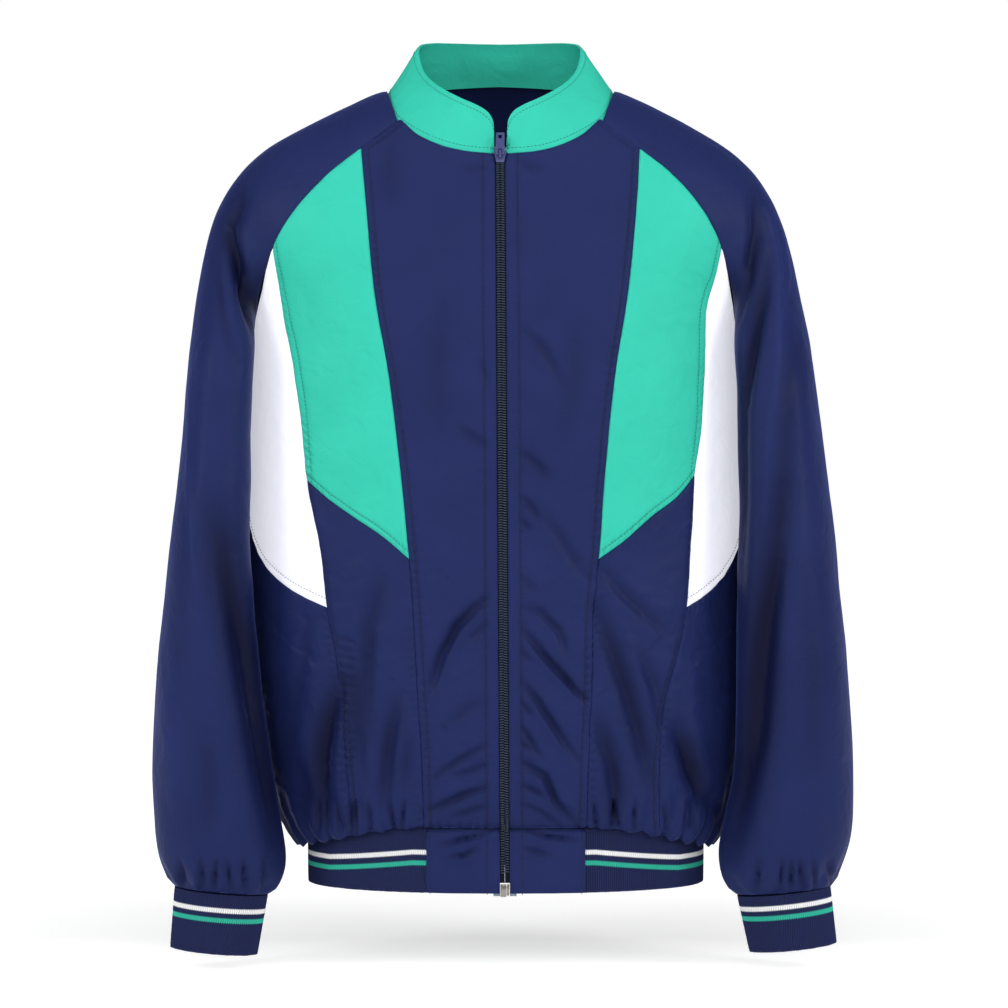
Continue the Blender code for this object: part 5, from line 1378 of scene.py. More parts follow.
def stand_clear(side, points):
    """Moves a sleeve's points out until they clear the body's side, but for the first, on the seam."""
    sign, level = SIDES[side], points[:, 2]
    deep = np.where(points[:, 1] < 0, BODY_AT["front"](level), BODY_AT["back"](level))
    share = np.clip(1 - (np.abs(points[:, 1]) / deep) ** SQUARENESS, 0, 1) ** (1 / SQUARENESS)
    edge = sign * BODY_AT["middle"](level) + BODY_AT["half"](level) * share
    need = 3.5 * np.minimum(1.0, np.linalg.norm(points - points[0], axis=1) / 15)
    moved = points.copy()
    inside = (np.abs(points[:, 1]) < deep) & (np.arange(len(points)) > 0)
    moved[inside, 0] = sign * np.maximum(sign * points[inside, 0], (edge + need)[inside])
    return moved


# %% [markdown]
# ### The sleeves, dressed
# Each is one sheet. It is evened out first, because pinned cloth has no sudden turns. Then it takes its
# creases, the gathers at the cuff and a little slackness, and its two long edges meet in the underarm
# seam.

# %% Sleeves
FAR_UP = 1e3  # the height of the arch's rows, which no gather reaches
SLEEVE_SOFTENINGS = 36


def sleeve_grid(side):
    rows = []
    for along in np.linspace(RAGLAN_START, 1.0, ARCH_ROWS + 1)[:-1]:
        front, back = arch(side, "front", along), arch(side, "back", along)
        if along > 0.7:
            front, back = stand_clear(side, front), stand_clear(side, back)
        rows.append(np.vstack([front, back[::-1][1:]]))
    seam_point = body_points(*raglan_place(side, "front", 1.0))
    for level in np.linspace(UNDERARM, SLEEVE_FOOT, TUBE_ROWS + 1):
        drawn = []
        for half in halves(side, level):
            shift = (seam_point - half[0]) * (1, 1, 0) * np.clip((level + 270) / 57, 0, 1) ** 2
            drawn.append(stand_clear(side, along_path(half + near_first(half) * shift, HALF_COLUMNS)))
        rows.append(np.vstack([drawn[0], drawn[1][::-1][1:]]))
    return softened_grid(np.array(rows), SLEEVE_SOFTENINGS)


def softened_grid(grid, times):
    """A grid with its inner points moved to their neighbours' middle, many times; its edges stay."""
    for _ in range(times):
        mean = (grid[:-2, 1:-1] + grid[2:, 1:-1] + grid[1:-1, :-2] + grid[1:-1, 2:]) / 4
        grid[1:-1, 1:-1] = (grid[1:-1, 1:-1] + mean) / 2
    return grid


def sleeve(side):
    grid = sleeve_grid(side)
    around = grid.copy()
    around[ARCH_ROWS:, 0] = around[ARCH_ROWS:, -1] = (grid[ARCH_ROWS:, 0] + grid[ARCH_ROWS:, -1]) / 2
    normals = grid_normals(around, around - around.mean(axis=1, keepdims=True))
    seam_normals = unit(normals[ARCH_ROWS:, 0] + normals[ARCH_ROWS:, -1])
    normals[ARCH_ROWS:, 0] = normals[ARCH_ROWS:, -1] = seam_normals
    flat_points, flat_normals = grid.reshape(-1, 3), normals.reshape(-1, 3)
    creased = crease_push(flat_points, flat_normals, f"sleeve_{side}")
    push, shade = (values.reshape(grid.shape[:2]) for values in creased)
    shares = np.broadcast_to(np.linspace(0, 1, grid.shape[1]), push.shape)
    tube_heights = np.linspace(UNDERARM, SLEEVE_FOOT, TUBE_ROWS + 1) - SLEEVE_FOOT
    height = np.concatenate([np.full(ARCH_ROWS, FAR_UP), tube_heights])[:, None]
    in_arch = height == FAR_UP
    push += gather_push(shares, height, CUFF_GATHERS)
    push += 1.2 * perlin(flat_points, 55.0, 3.0 + SIDES[side]).reshape(push.shape)
    push += 0.2 * perlin(flat_points, 18.0, 5.0).reshape(push.shape)
    first, last, top, foot = edge_distances(grid)
    edge = np.minimum(first, last)
    push *= np.clip(height / 6.0, 0, 1) * np.clip(edge / 8.0, 0, 1) * np.clip(top / 12.0, 0, 1)
    push += pucker_push(first[:, :1] + top, edge, 3.0, depth=0.25) * in_arch
    push += roll((np.where(in_arch, edge, FAR_UP), top, foot))
    moved = grid + normals * push[..., None]
    moved[:, 0] += SEAM_GAP * unit(moved[:, 1] - moved[:, 0])
    moved[:, -1] += SEAM_GAP * unit(moved[:, -2] - moved[:, -1])
    return dress(
        f"sleeve_sheet_{side}", f"sleeve_{side}", moved, normals, navy_cloth, shade=shade
    )


for side in SIDES:
    sleeve(side)

# %% [markdown]
# ## The stand collar
# Two layers of the green cloth stand on the neckline, with rounded front corners that meet over the zip's
# top. The sheet runs once from one front end round the back to the other, and its upper edge follows the
# photo's line.

# %% Collar
COLLAR_CLOTH = 2.0
COLLAR_TOP = columns(
    table(
        "turn x y z",
        [
            (0, 4.4, -86, -38),
            (0.012, 4.9, -84, -31),
            (0.03, 7.5, -82, -24.5),
            (0.055, 12.0, -80, -19.5),
            (0.09, 19.5, -78, -15),
            (0.14, 32.0, -73, -9),
            (0.2, 43.3, -64, -2.4),
            (0.27, 53.1, -52, 5),
            (0.35, 61.3, -37, 14),
            (0.45, 67.1, -20, 26),
            (0.56, 70.5, -1, 40.5),
            (0.68, 68.0, 26, 48),
            (0.8, 52.0, 46, 52),
            (0.9, 28.0, 59, 53),
            (1, 0.0, 64, 53),
        ],
    ),
    "turn",
)
COLLAR_ROWS, COLLAR_HALF_COLUMNS = 24, 120
NECK_SOFTENINGS = 400
COLLAR_LAP = {"half": 0.09, "out": 2.8, "down": 3.0}  # its foot laps lower over the raglan seam's end
SHOULDER_TURN = 0.35  # the share of the way round from the zip at which the raglan seam meets the collar


def neck_line(side):
    """The finished neckline on one side, from the zip round to the middle of the back."""
    front = grids[f"centre_front_{side}"][0][-1]
    over = grids[f"sleeve_sheet_{side}"][0][0]
    back = grids["back_sheet"][0][-1]
    middle = len(back) // 2
    rear = back[: middle + 1] if side == "left" else back[middle:][::-1]
    line = along_path(np.vstack([front[:-1], over[1:-1], rear[1:]]), 240)
    for _ in range(NECK_SOFTENINGS):
        line[1:-1] = (line[:-2] + 2 * line[1:-1] + line[2:]) / 4
    return line


def collar():
    halves_of = {}
    turns = np.linspace(0, 1, COLLAR_HALF_COLUMNS + 1) ** 1.25
    for side, sign in SIDES.items():
        line = neck_line(side)
        run = np.concatenate([[0], np.cumsum(np.linalg.norm(np.diff(line, axis=0), axis=1))])
        feet = np.column_stack([np.interp(turns * run[-1], run, line[:, i]) for i in range(3)])
        feet[:, 2] += 0.8 - 1.8 * np.clip(turns / 0.1, 0, 1)
        feet[:, :2] += 0.6 * unit(feet[:, :2]) * np.clip(turns / 0.1, 0, 1)[:, None]
        lap = bell((turns - SHOULDER_TURN) / COLLAR_LAP["half"])
        feet[:, :2] += COLLAR_LAP["out"] * unit(feet[:, :2]) * lap[:, None]
        feet[:, 2] -= COLLAR_LAP["down"] * lap
        feet[0, 0] += sign * 0.8
        shift = (1.6 if side == "left" else 0.0) * np.clip(1 - turns / 0.1, 0, 1)
        x = zip_middle(0) + sign * (COLLAR_TOP["x"](turns) + shift)
        halves_of[side] = feet, np.column_stack([x, COLLAR_TOP["y"](turns), COLLAR_TOP["z"](turns)])
    feet = np.vstack([halves_of["right"][0], halves_of["left"][0][::-1][1:]])
    tops = np.vstack([halves_of["right"][1], halves_of["left"][1][::-1][1:]])
    rise = np.linspace(0, 1, COLLAR_ROWS + 1)[:, None, None]
    grid = feet[None] * (1 - rise) + tops[None] * rise
    normals = grid_normals(grid, grid * np.array([1.0, 1.0, 0.0]))
    first, last, foot, top = edge_distances(grid)
    push = 0.5 * perlin(grid.reshape(-1, 3), 30.0, 7.0).reshape(grid.shape[:2])
    push += pucker_push(first, foot, 2.0, depth=0.3, reach=6.0)
    push += roll((first, last, top, foot)) * 0.8
    moved = grid + normals * push[..., None]
    return dress("collar_sheet", "collar", moved, normals, green_cloth, COLLAR_CLOTH)


collar()

# %% [markdown]
# ## The woven hem bands
# Beside the zip the hem is not knit but a doubled band of the navy cloth, flat and slightly puckered.

# %% Hem bands
BAND_HALF = 65.5
HEM_MIDDLE = 1.5  # the two bands' middle stands this far to the wearer's left
BAND_CLEAR = 0.06  # degrees between a band's end, or the rib's, and the seam between them
RIB_CLOTH = 2.2
HEM_TUCK = 2.0  # the band and the rib run this far up behind the cloth that they hold


def hem_band(side, rows=27, cols=33):
    sign = SIDES[side]
    levels = np.linspace(HEM_SEAM + HEM_TUCK, HEM_FOOT, rows + 1)[:, None]
    first = angle_at(zip_edge(side, levels) + sign * SEAM_GAP, levels)
    last = angle_at(sign * BAND_HALF + HEM_MIDDLE, HEM_SEAM) - sign * BAND_CLEAR
    share = np.linspace(0, 1, cols + 1)[None, :]
    angles = first + (last - first) * share
    levels = np.broadcast_to(levels, angles.shape)
    # its upper edge lies behind the front panel's foot
    tucked = np.clip((HEM_SEAM + 1.0 - levels) / 5, 0, 1)
    grid = body_points(angles, np.minimum(levels, HEM_SEAM), 3.2 * tucked - 2.8)
    grid[..., 2] = levels
    normals = grid_normals(grid, grid * np.array([1.0, 1.0, 0.0]))
    near, far, top, foot = edge_distances(grid)
    push = 0.6 * perlin(grid.reshape(-1, 3), 16.0, 9.0).reshape(angles.shape)
    creased = crease_push(grid.reshape(-1, 3), normals.reshape(-1, 3), "band")
    creases, shade = (values.reshape(angles.shape) for values in creased)
    push += creases
    push *= np.clip((near - 5.0) / 8.0, 0.1, 1.0) * np.clip(top / 8.0, 0.0, 1.0)
    push += groove(near, 10.5) + groove(far, 3.0) + groove(foot, 3.0)
    push += pucker_push(near, np.abs(top - 4.0), 4.0, depth=0.3, reach=7.0)
    push += roll((near, far, top, foot))
    moved = grid + normals * push[..., None]
    return dress(
        f"band_{side}", f"hem_band_{side}", moved, normals, navy_cloth, RIB_CLOTH, shade
    )


for side in SIDES:
    hem_band(side)

# %% [markdown]
# ## The ribs of the knit, by Geometry Nodes
# Rib knit is one rule repeated hundreds of times: the surface rises and falls once in every 1.9 mm of the
# way round. A node tree reads each point's distance round, takes a cosine of it and moves each outer point
# along its normal. The sheet under it is an ordinary band.


# %% The rib tree
def rib_tree():
    tree = bpy.data.node_groups.new("rib_knit_relief", "GeometryNodeTree")
    tree.is_modifier = True
    face = tree.interface
    face.new_socket("Geometry", in_out="INPUT", socket_type="NodeSocketGeometry")
    for label, value in (("Pitch", RIB_PITCH), ("Height", 0.0)):
        face.new_socket(label, in_out="INPUT", socket_type="NodeSocketFloat").default_value = value
    face.new_socket("Yarn", in_out="INPUT", socket_type="NodeSocketMaterial")
    face.new_socket("Geometry", in_out="OUTPUT", socket_type="NodeSocketGeometry")
    given = add(tree, "NodeGroupInput")
    uv = add(tree, "GeometryNodeInputNamedAttribute", {"Name": "around_mm"}, data_type="FLOAT")
    turns = maths(tree, "DIVIDE", uv.outputs["Attribute"], given.outputs["Pitch"])
    angle = maths(tree, "MULTIPLY", turns.outputs[0], 2 * math.pi)
    wave = maths(tree, "COSINE", angle.outputs[0])
    outer = add(tree, "GeometryNodeInputNamedAttribute", {"Name": "outer_face"}, data_type="FLOAT")
    lift = maths(tree, "MULTIPLY", wave.outputs[0], outer.outputs["Attribute"])
    high = maths(tree, "MULTIPLY", lift.outputs[0], given.outputs["Height"])
    normal = add(tree, "GeometryNodeInputNormal")
    offset = add(
        tree, "ShaderNodeVectorMath", {0: normal.outputs[0], "Scale": high.outputs[0]}, operation="SCALE"
    )
    moved = add(
        tree, "GeometryNodeSetPosition", {"Geometry": given.outputs["Geometry"], "Offset": offset.outputs[0]}
    )
    real = add(tree, "GeometryNodeRealizeInstances", {0: moved.outputs[0]})
    yarn = add(
        tree, "GeometryNodeSetMaterial", {"Geometry": real.outputs[0], "Material": given.outputs["Yarn"]}
    )
    add(tree, "NodeGroupOutput", {0: yarn.outputs[0]})
    return tree


def run_tree(piece, tree, **values):
    """Runs a node tree on a piece and keeps the result as its plain mesh."""
    modifier = piece.modifiers.new(tree.name, "NODES")
    modifier.node_group = tree
    sockets = {item.name: item.identifier for item in tree.interface.items_tree if item.in_out == "INPUT"}
    for label, value in values.items():
        modifier[sockets[label]] = value
    graph = bpy.context.evaluated_depsgraph_get()
    mesh = bpy.data.meshes.new_from_object(piece.evaluated_get(graph))
    piece.modifiers.clear()
    piece.data = mesh
    return piece


rib_knit_relief = rib_tree()


# %% [markdown]
# ### The hem rib
# It runs from one front band round the back to the other, behind the foot of the body, and draws the body
# in. Its grid is fine enough for about five points on each rib.

# %% Knitted bands
KNIT_STEP = 6  # the inner face takes every sixth row and column
BAND_ROWS = 3 * KNIT_STEP + 1
RIB_HEIGHT = 0.00045


def knit_band(name, node, grid, yarn):
    """A band of rib knit on a grid whose first row is its foot."""
    normals = grid_normals(grid, grid - grid.mean(axis=(0, 1)))
    mesh = sheet_mesh(name, grid, normals, RIB_CLOTH, KNIT_STEP)
    mesh.materials.append(yarn)
    rows, cols = grid.shape[:2]
    across = run_lengths(grid, 1)
    coarse = across[::KNIT_STEP, ::KNIT_STEP]
    around = mesh.attributes.new("around_mm", "FLOAT", "POINT")
    around.data.foreach_set("value", np.concatenate([across.ravel(), coarse.ravel()]).astype(np.float32))
    face = mesh.attributes.new("outer_face", "FLOAT", "POINT")
    outside = np.concatenate([np.ones(rows * cols), np.zeros(coarse.size)])
    face.data.foreach_set("value", outside.astype(np.float32))
    piece = bpy.data.objects.new(name, mesh)
    bpy.context.scene.collection.objects.link(piece)
    run_tree(piece, rib_knit_relief, Pitch=RIB_PITCH, Height=RIB_HEIGHT, Yarn=yarn)
    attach(piece, "jacket")
    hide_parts(node)
    return piece


def hem_rib():
    start = angle_at(BAND_HALF + HEM_MIDDLE, HEM_SEAM) + BAND_CLEAR
    end = 360 + angle_at(-BAND_HALF + HEM_MIDDLE, HEM_SEAM) - BAND_CLEAR
    angles = np.linspace(start, end, KNIT_STEP * 360 + 1)[None, :]
    levels = np.linspace(HEM_FOOT, HEM_SEAM + HEM_TUCK, BAND_ROWS)[:, None]
    angles, levels = np.broadcast_arrays(angles, levels)
    # the upper edge lies behind the cloth that it holds
    tucked = np.clip((levels - HEM_SEAM + 1.0) / 3.0, 0, 1)
    grid = body_points(angles, np.minimum(levels, HEM_SEAM - 0.5), -1.8 - 1.8 * tucked)
    grid[..., 2] = levels
    return knit_band("hem_knit", "hem_rib", grid, hem_knit)


hem_rib()

# %% [markdown]
# ### The cuffs
# Each is a plain tapering oval tube in which the sleeve's foot ends, a little higher on its outer side.

# %% Cuffs
CUFF = {
    "right": {"top": (-235.5, -60, -667.8), "foot": (-241.5, -62, -717), "rise": 0.09},
    "left": {"top": (233.0, -60, -667.8), "foot": (240.5, -62, -714), "rise": 0.11},
}
CUFF_HALF_TOP, CUFF_HALF_FOOT = (38.5, 32.0), (36.0, 30.5)


def cuff(side):
    sizes = CUFF[side]
    turn = np.linspace(0, 2 * np.pi, KNIT_STEP * 100 + 1)[None, :]
    share = np.linspace(0, 1, BAND_ROWS)[:, None]
    half_x = CUFF_HALF_FOOT[0] + (CUFF_HALF_TOP[0] - CUFF_HALF_FOOT[0]) * share
    half_y = CUFF_HALF_FOOT[1] + (CUFF_HALF_TOP[1] - CUFF_HALF_FOOT[1]) * share
    x, y = half_x * np.sin(turn), half_y * np.cos(turn)
    centre = np.array(sizes["foot"])[None] * (1 - share) + np.array(sizes["top"])[None] * share
    z = centre[:, 2:] + sizes["rise"] * SIDES[side] * x
    grid = np.stack([centre[:, :1] + x, centre[:, 1:2] + y, z], axis=-1)
    return knit_band(f"cuff_knit_{side}", f"cuff_{side}", grid, cuff_knit)


for side in SIDES:
    cuff(side)

# %% [markdown]
# ## The zip: tapes, and the coil by Geometry Nodes
# Each tape is a woven band behind the front edge. Along its inner edge runs a nylon coil, hundreds of
# equal turns that mesh with the other side's. A node tree sets one rounded turn at every step along a
# line, and the other half starts half a step lower.

# %% Zip lines
ZIP_TOP, ZIP_FOOT = -57.6, -655.5
TAPE_NEAR, TAPE_FAR = 0.08, 10.3
TAPE_CLOTH, TAPE_SUNK = 0.6, 1.9


def zip_spot(z, across, out):
    """A point beside the zip's middle line, so far across and so far out from the cloth's face."""
    sink = np.where(z < HEM_SEAM, -0.8, 0.0)
    low, high = BODY_AT["front"](z - 2), BODY_AT["front"](z + 2)
    slope = (high - low) / 4
    ahead = np.stack([np.zeros_like(z), -np.ones_like(z), -slope], axis=-1)
    ahead = unit(ahead)
    base = np.stack([zip_middle(z) + across, -BODY_AT["front"](z), z], axis=-1)
    return base + ahead * (np.asarray(out) + sink)[..., None]


def zip_tape(side, cols=6):
    sign = SIDES[side]
    z = np.linspace(ZIP_FOOT, ZIP_TOP, 301)[:, None] * np.ones((1, cols + 1))
    across = sign * np.linspace(TAPE_NEAR, TAPE_FAR, cols + 1)[None, :] * np.ones_like(z)
    grid = zip_spot(z, across, np.full(z.shape, -TAPE_SUNK))
    normals = grid_normals(grid, np.broadcast_to([0.0, -1.0, 0.0], grid.shape))
    return dress(f"tape_{side}", f"zip_half_{side}", grid, normals, tape_cloth, TAPE_CLOTH)


for side in SIDES:
    zip_tape(side)


# %% [markdown]
# ### Beads along a line, by Geometry Nodes
# The tree spaces points along a line of edges, turns each with the line, and sets one rounded bead on it.
# The bead's sizes and its twist are inputs, so the same tree sets the coil's turns and every stitch.

# %% The tree that sets things along a line
def line_tree(name, segments=6, rings=4):
    """Sets one rounded bead, longer in its first direction, at every step along an edge line."""
    tree = bpy.data.node_groups.new(name, "GeometryNodeTree")
    tree.is_modifier = True
    face = tree.interface
    face.new_socket("Geometry", in_out="INPUT", socket_type="NodeSocketGeometry")
    for label in ("Step", "Length", "Thickness", "Height"):
        face.new_socket(label, in_out="INPUT", socket_type="NodeSocketFloat").default_value = 0.001
    face.new_socket("Turn", in_out="INPUT", socket_type="NodeSocketVector")
    face.new_socket("Finish", in_out="INPUT", socket_type="NodeSocketMaterial")
    face.new_socket("Geometry", in_out="OUTPUT", socket_type="NodeSocketGeometry")
    given = add(tree, "NodeGroupInput")
    line = add(tree, "GeometryNodeMeshToCurve", {"Mesh": given.outputs["Geometry"]})
    spaced = add(
        tree,
        "GeometryNodeResampleCurve",
        {"Curve": line.outputs[0], "Length": given.outputs["Step"]},
        mode="LENGTH",
    )
    tangent = add(tree, "GeometryNodeInputTangent")
    facing = add(tree, "FunctionNodeAlignEulerToVector", {"Vector": tangent.outputs[0]}, axis="X")
    turned = add(
        tree,
        "FunctionNodeRotateEuler",
        {0: facing.outputs[0], 1: given.outputs["Turn"]},
        rotation_type="EULER",
        space="LOCAL",
    )
    sizes = {0: given.outputs["Length"], 1: given.outputs["Thickness"], 2: given.outputs["Height"]}
    size = add(tree, "ShaderNodeCombineXYZ", sizes)
    bead = add(tree, "GeometryNodeMeshUVSphere", {"Segments": segments, "Rings": rings, "Radius": 0.5})
    smooth_bead = add(tree, "GeometryNodeSetShadeSmooth", {0: bead.outputs["Mesh"]})
    placed = add(
        tree,
        "GeometryNodeInstanceOnPoints",
        {
            "Points": spaced.outputs[0],
            "Instance": smooth_bead.outputs[0],
            "Rotation": turned.outputs[0],
            "Scale": size.outputs[0],
        },
    )
    real = add(tree, "GeometryNodeRealizeInstances", {0: placed.outputs[0]})
    finish = add(
        tree, "GeometryNodeSetMaterial", {"Geometry": real.outputs[0], "Material": given.outputs["Finish"]}
    )
    add(tree, "NodeGroupOutput", {0: finish.outputs[0]})
    return tree


def beads_along(name, lines, tree, material, body, slot, **values):
    """One piece of beads along several lines of points in millimetres."""
    points, edges = [], []
    for line in lines:
        start = len(points)
        points += (np.asarray(line) * MM).tolist()
        edges += [(start + i, start + i + 1) for i in range(len(line) - 1)]
    mesh = bpy.data.meshes.new(name)
    mesh.from_pydata(points, edges, [])
    piece = bpy.data.objects.new(name, mesh)
    bpy.context.scene.collection.objects.link(piece)
    run_tree(piece, tree, Finish=material, **values)
    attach(piece, body)
    print(f"{name}: {len(piece.data.polygons)} faces")
    return piece


bead_line = line_tree("beads_along_a_line")

# %% [markdown]
# ### The coil
# Its turns lie side by side, a little twisted, and those of the left half start half a step above the
# right's.

# %% Zip coil
COIL_PITCH = 2.05
COIL_ASIDE, COIL_SUNK = 1.75, 0.45
for side, sign in SIDES.items():
    half_step = 0.0 if sign < 0 else COIL_PITCH / 2
    z = np.linspace(ZIP_FOOT + 8.5 + half_step, ZIP_TOP - 3.0, 300)
    line = zip_spot(z, sign * COIL_ASIDE, np.full(z.shape, -COIL_SUNK))
    beads_along(
        f"coil_{side}",
        [line],
        bead_line,
        nylon_coil,
        "jacket",
        "zip_coil",
        Step=COIL_PITCH * MM,
        Length=0.0013,
        Thickness=0.0021,
        Height=0.0042,
        Turn=(0.0, math.radians(9) * sign, 0.0),
    )

# %% [markdown]
# ## Slider, pull tab, box, pin and film
# These hard pieces already have their true shape in the frame. Cast and pressed metal has no sharp edges,
# though, so each is a copy with its faces merged and its edges rounded.


# %% Hard pieces
def softened(name, node, body, material, width, segments=2):
    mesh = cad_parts[node].data.copy()
    mesh.materials.clear()
    mesh.materials.append(material)
    piece = bpy.data.objects.new(name, mesh)
    bpy.context.scene.collection.objects.link(piece)
    bm = bmesh.new()
    bm.from_mesh(mesh)
    bmesh.ops.remove_doubles(bm, verts=bm.verts, dist=1e-6)
    bmesh.ops.dissolve_limit(bm, angle_limit=math.radians(2), verts=bm.verts, edges=bm.edges)
    bmesh.ops.recalc_face_normals(bm, faces=bm.faces)
    bm.to_mesh(mesh)
    bm.free()
    bevel = piece.modifiers.new("rounded edges", "BEVEL")
    bevel.width, bevel.segments = width, segments
    bevel.limit_method, bevel.angle_limit = "ANGLE", math.radians(30)
    graph = bpy.context.evaluated_depsgraph_get()
    rounded = bpy.data.meshes.new_from_object(piece.evaluated_get(graph))
    piece.modifiers.clear()
    piece.data = rounded
    rounded.shade_smooth()
    rounded.set_sharp_from_angle(angle=math.radians(50))
    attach(piece, body)
    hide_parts(node)
    print(f"{name}: {len(rounded.polygons)} faces")
    return piece


softened("slider", "zip_slider", "jacket", painted_zinc, 0.0004)
softened("pull_tab_plate", "zip_pull", "pull_tab", painted_zinc, 0.0002)
softened("box", "zip_box", "jacket", nickel, 0.0005)
softened("pin", "zip_pin", "jacket", nickel, 0.0004)
for side in SIDES:
    softened(f"film_{side}", f"tape_film_{side}", "jacket", clear_film, 0.00005, 1)

# %% [markdown]
# ## Stitching
# Rows of topstitching hold the turnings flat. Each row follows a line drawn on its own sheet, a few
# millimetres inside an edge, and the same tree that sets the zip's turns sets a small sunk bead for each
# stitch.

# %% Stitch rows
STITCH_STEP, STITCH_LENGTH, STITCH_THICK = 3.2, 2.3, 0.75


def on_sheet(name, edge, inset, start=0.0, end=1.0, lift=0.05):
    """A line on a sheet, inset millimetres inside an edge, from one share of its length to another."""
    grid, normals = grids[name]
    if edge in ("first", "last"):
        grid, normals = grid.transpose(1, 0, 2), normals.transpose(1, 0, 2)
    if edge in ("last", "top"):
        grid, normals = grid[::-1], normals[::-1]
    depth = run_lengths(grid, 0)
    line = []
    for j in range(int(start * (grid.shape[1] - 1)), int(end * (grid.shape[1] - 1)) + 1):
        place = np.interp(inset, depth[:, j], np.arange(len(grid)))
        i = min(int(place), len(grid) - 2)
        t = place - i
        point = grid[i, j] * (1 - t) + grid[i + 1, j] * t
        line.append(point + normals[i, j] * lift)
    return np.array(line)


def stitches(name, lines, thread, slot):
    return beads_along(
        name,
        lines,
        bead_line,
        thread,
        "jacket",
        slot,
        Step=STITCH_STEP * MM,
        Length=STITCH_LENGTH * MM,
        Thickness=STITCH_THICK * MM,
        Height=STITCH_THICK * MM,
    )


for side in SIDES:
    front, chest, lower = f"centre_front_{side}", f"chest_{side}", f"front_lower_{side}"
    navy_lines = [
        on_sheet(front, "first", 10.5),
        on_sheet(front, "last", 6.0, 0.0, 0.97),
        on_sheet(lower, "last", 4.5, 0.0, 0.55),
        on_sheet(f"band_{side}", "first", 10.5),
        on_sheet(f"band_{side}", "last", 3.0),
        on_sheet(f"band_{side}", "foot", 3.0),
    ]
    stitches(f"navy_stitches_{side}", navy_lines, navy_thread, "navy_cloth")
    green_lines = [on_sheet(chest, "last", 8.0), on_sheet(chest, "foot", 6.5)]
    stitches(f"green_stitches_{side}", green_lines, green_thread, "green_cloth")
    stitches(f"grey_stitches_{side}", [on_sheet(f"side_{side}", "foot", 8.0)], grey_thread, "white_cloth")
collar_lines = [on_sheet("collar_sheet", "foot", 4.5), on_sheet("collar_sheet", "top", 5.0)]
stitches("collar_stitches", collar_lines, green_thread, "green_cloth")

# %% [markdown]
# ## Studio
# The jacket is lit as a cut-out product shot is: a wide soft light on each side of the camera, a soft one
# above, and a white room that fills the shadows. A pale floor lies just under the cuffs.

# %% Floor, lights and world
FLOOR_DROP = 0.012
FLOOR_HALF = 12.0
# the light that the floor gives near the jacket, far off, and before the jacket; the last is a painted pool
# of light that lifts the jacket's shadow there
FLOOR_LIGHT = {"near": 0.56, "far": 0.8, "before": 0.3}
# how far out, and how far behind the front, that light changes, in metres
AROUND, DEPTHS = (0.85, 1.7), (-0.08, 0.14)
BOUNCE = 0.3  # the share of the floor's own light that the jacket gets
floor_mesh = bpy.data.meshes.new("floor")
floor_z = float(cad_box[0].z) - FLOOR_DROP
corners = [(FLOOR_HALF * x, FLOOR_HALF * y, floor_z) for x, y in ((-1, -1), (1, -1), (1, 1), (-1, 1))]
floor_mesh.from_pydata(corners, [], [(0, 1, 2, 3)])
floor = bpy.data.objects.new("floor", floor_mesh)
bpy.context.scene.collection.objects.link(floor)
floor_paint, _, floor_shader = new_material("matt white floor", Base_Color=(0.8, 0.8, 0.8, 1), Roughness=1.0)
floor_shader.inputs["Emission Color"].default_value = (1, 1, 1, 1)
floor_tree = floor_paint.node_tree
floor_spot = add(floor_tree, "ShaderNodeTexCoord")
away = add(floor_tree, "ShaderNodeVectorMath", {0: floor_spot.outputs["Object"]}, operation="LENGTH")
lit = map_range(floor_tree, away.outputs["Value"], *AROUND, FLOOR_LIGHT["near"], FLOOR_LIGHT["far"])
depth = add(floor_tree, "ShaderNodeSeparateXYZ", {"Vector": floor_spot.outputs["Object"]})
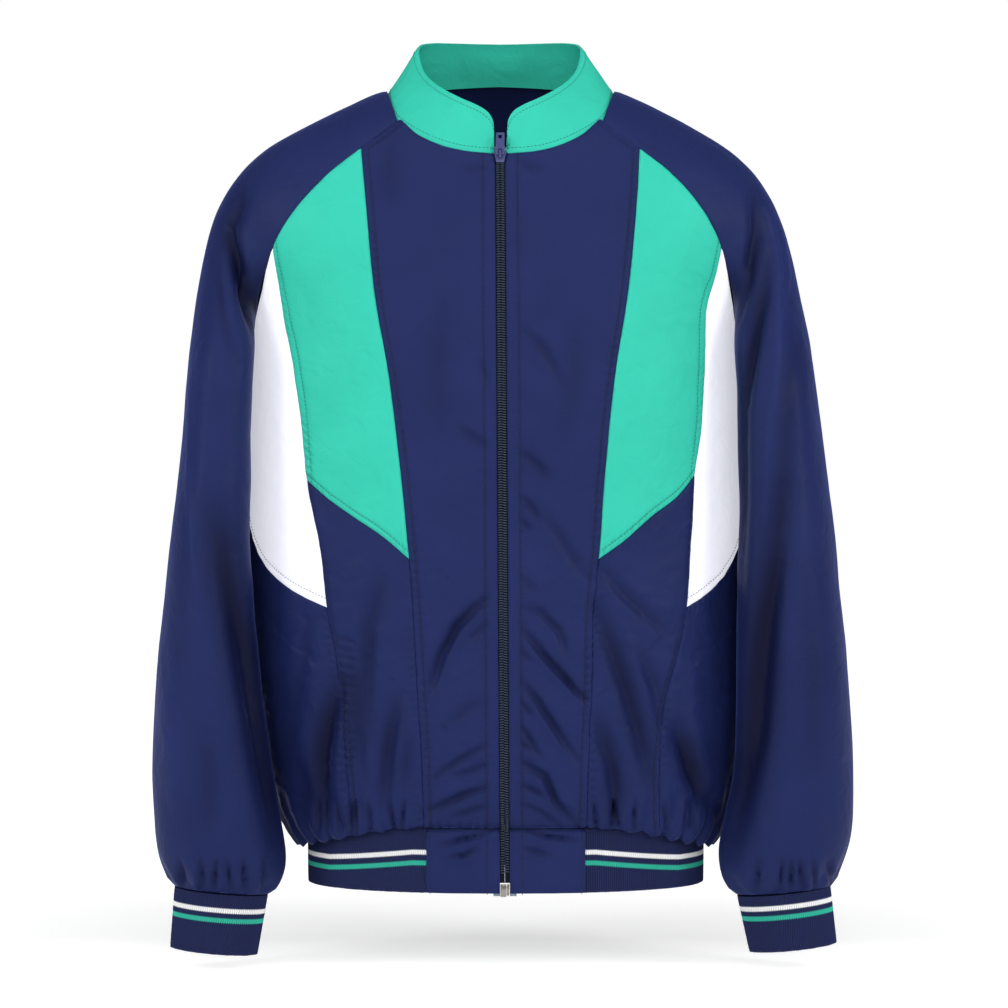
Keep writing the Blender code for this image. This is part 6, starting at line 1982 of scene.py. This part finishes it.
# painted light: the floor glows brighter in front of the jacket, where the jacket's shadow would fall
before = map_range(floor_tree, depth.outputs["Y"], *DEPTHS, FLOOR_LIGHT["before"], 0.0)
glow = maths(floor_tree, "ADD", lit.outputs[0], before.outputs[0])
floor_ray = add(floor_tree, "ShaderNodeLightPath")
spill = map_range(floor_tree, floor_ray.outputs["Is Camera Ray"], 0.0, 1.0, BOUNCE, 1.0)
glow_shared = maths(floor_tree, "MULTIPLY", glow.outputs[0], spill.outputs[0])
floor_tree.links.new(glow_shared.outputs[0], floor_shader.inputs["Emission Strength"])
floor_mesh.materials.append(floor_paint)


def soft_light(name, place, target, size, watts):
    data = bpy.data.lights.new(name, "AREA")
    data.shape, data.size, data.size_y, data.energy = "RECTANGLE", size[0], size[1], watts
    light = bpy.data.objects.new(name, data)
    light.location = place
    light.rotation_mode = "QUATERNION"
    light.rotation_quaternion = (Vector(target) - Vector(place)).to_track_quat("-Z", "Y")
    bpy.context.scene.collection.objects.link(light)


soft_light("left_softbox", (-2.3, -1.5, 0.8), (0, 0, -0.3), (0.7, 1.6), 24)
soft_light("right_softbox", (2.3, -1.5, 0.8), (0, 0, -0.3), (0.7, 1.6), 27)
soft_light("front_softbox", (0.0, -3.6, 0.9), (0, 0, -0.4), (2.6, 1.2), 22)
soft_light("top_softbox", (0.0, -0.9, 2.1), (0, 0, -0.4), (2.0, 1.0), 12)

# The white walls give this much light back to cloth and to gloss; the camera sees them as plain white. The
# screens stand before the jacket, so cloth gets more light from its front than from behind it.
ROOM = {"before": 0.62, "behind": 0.1, "gloss": 0.1, "camera": 1.0}
SCREENS = (-0.65, 0.6)  # from in front of the jacket to behind it, as the direction's second part
world = bpy.data.worlds.new("white room")
world.use_nodes = True
background = world.node_tree.nodes["Background"]
background.inputs["Color"].default_value = (1, 1, 1, 1)
ray = add(world.node_tree, "ShaderNodeLightPath")
way = add(world.node_tree, "ShaderNodeTexCoord")
way_parts = add(world.node_tree, "ShaderNodeSeparateXYZ", {"Vector": way.outputs["Generated"]})
ahead = way_parts.outputs["Y"]
screens = map_range(world.node_tree, ahead, *SCREENS, ROOM["before"], ROOM["behind"])
glossy = ray.outputs["Is Glossy Ray"]
inside = map_range(world.node_tree, glossy, 0.0, 1.0, screens.outputs[0], ROOM["gloss"])
to_camera = ray.outputs["Is Camera Ray"]
strength = map_range(world.node_tree, to_camera, 0.0, 1.0, inside.outputs[0], ROOM["camera"])
world.node_tree.links.new(strength.outputs[0], background.inputs["Strength"])
bpy.context.scene.world = world
bpy.context.scene.view_settings.view_transform = "Standard"
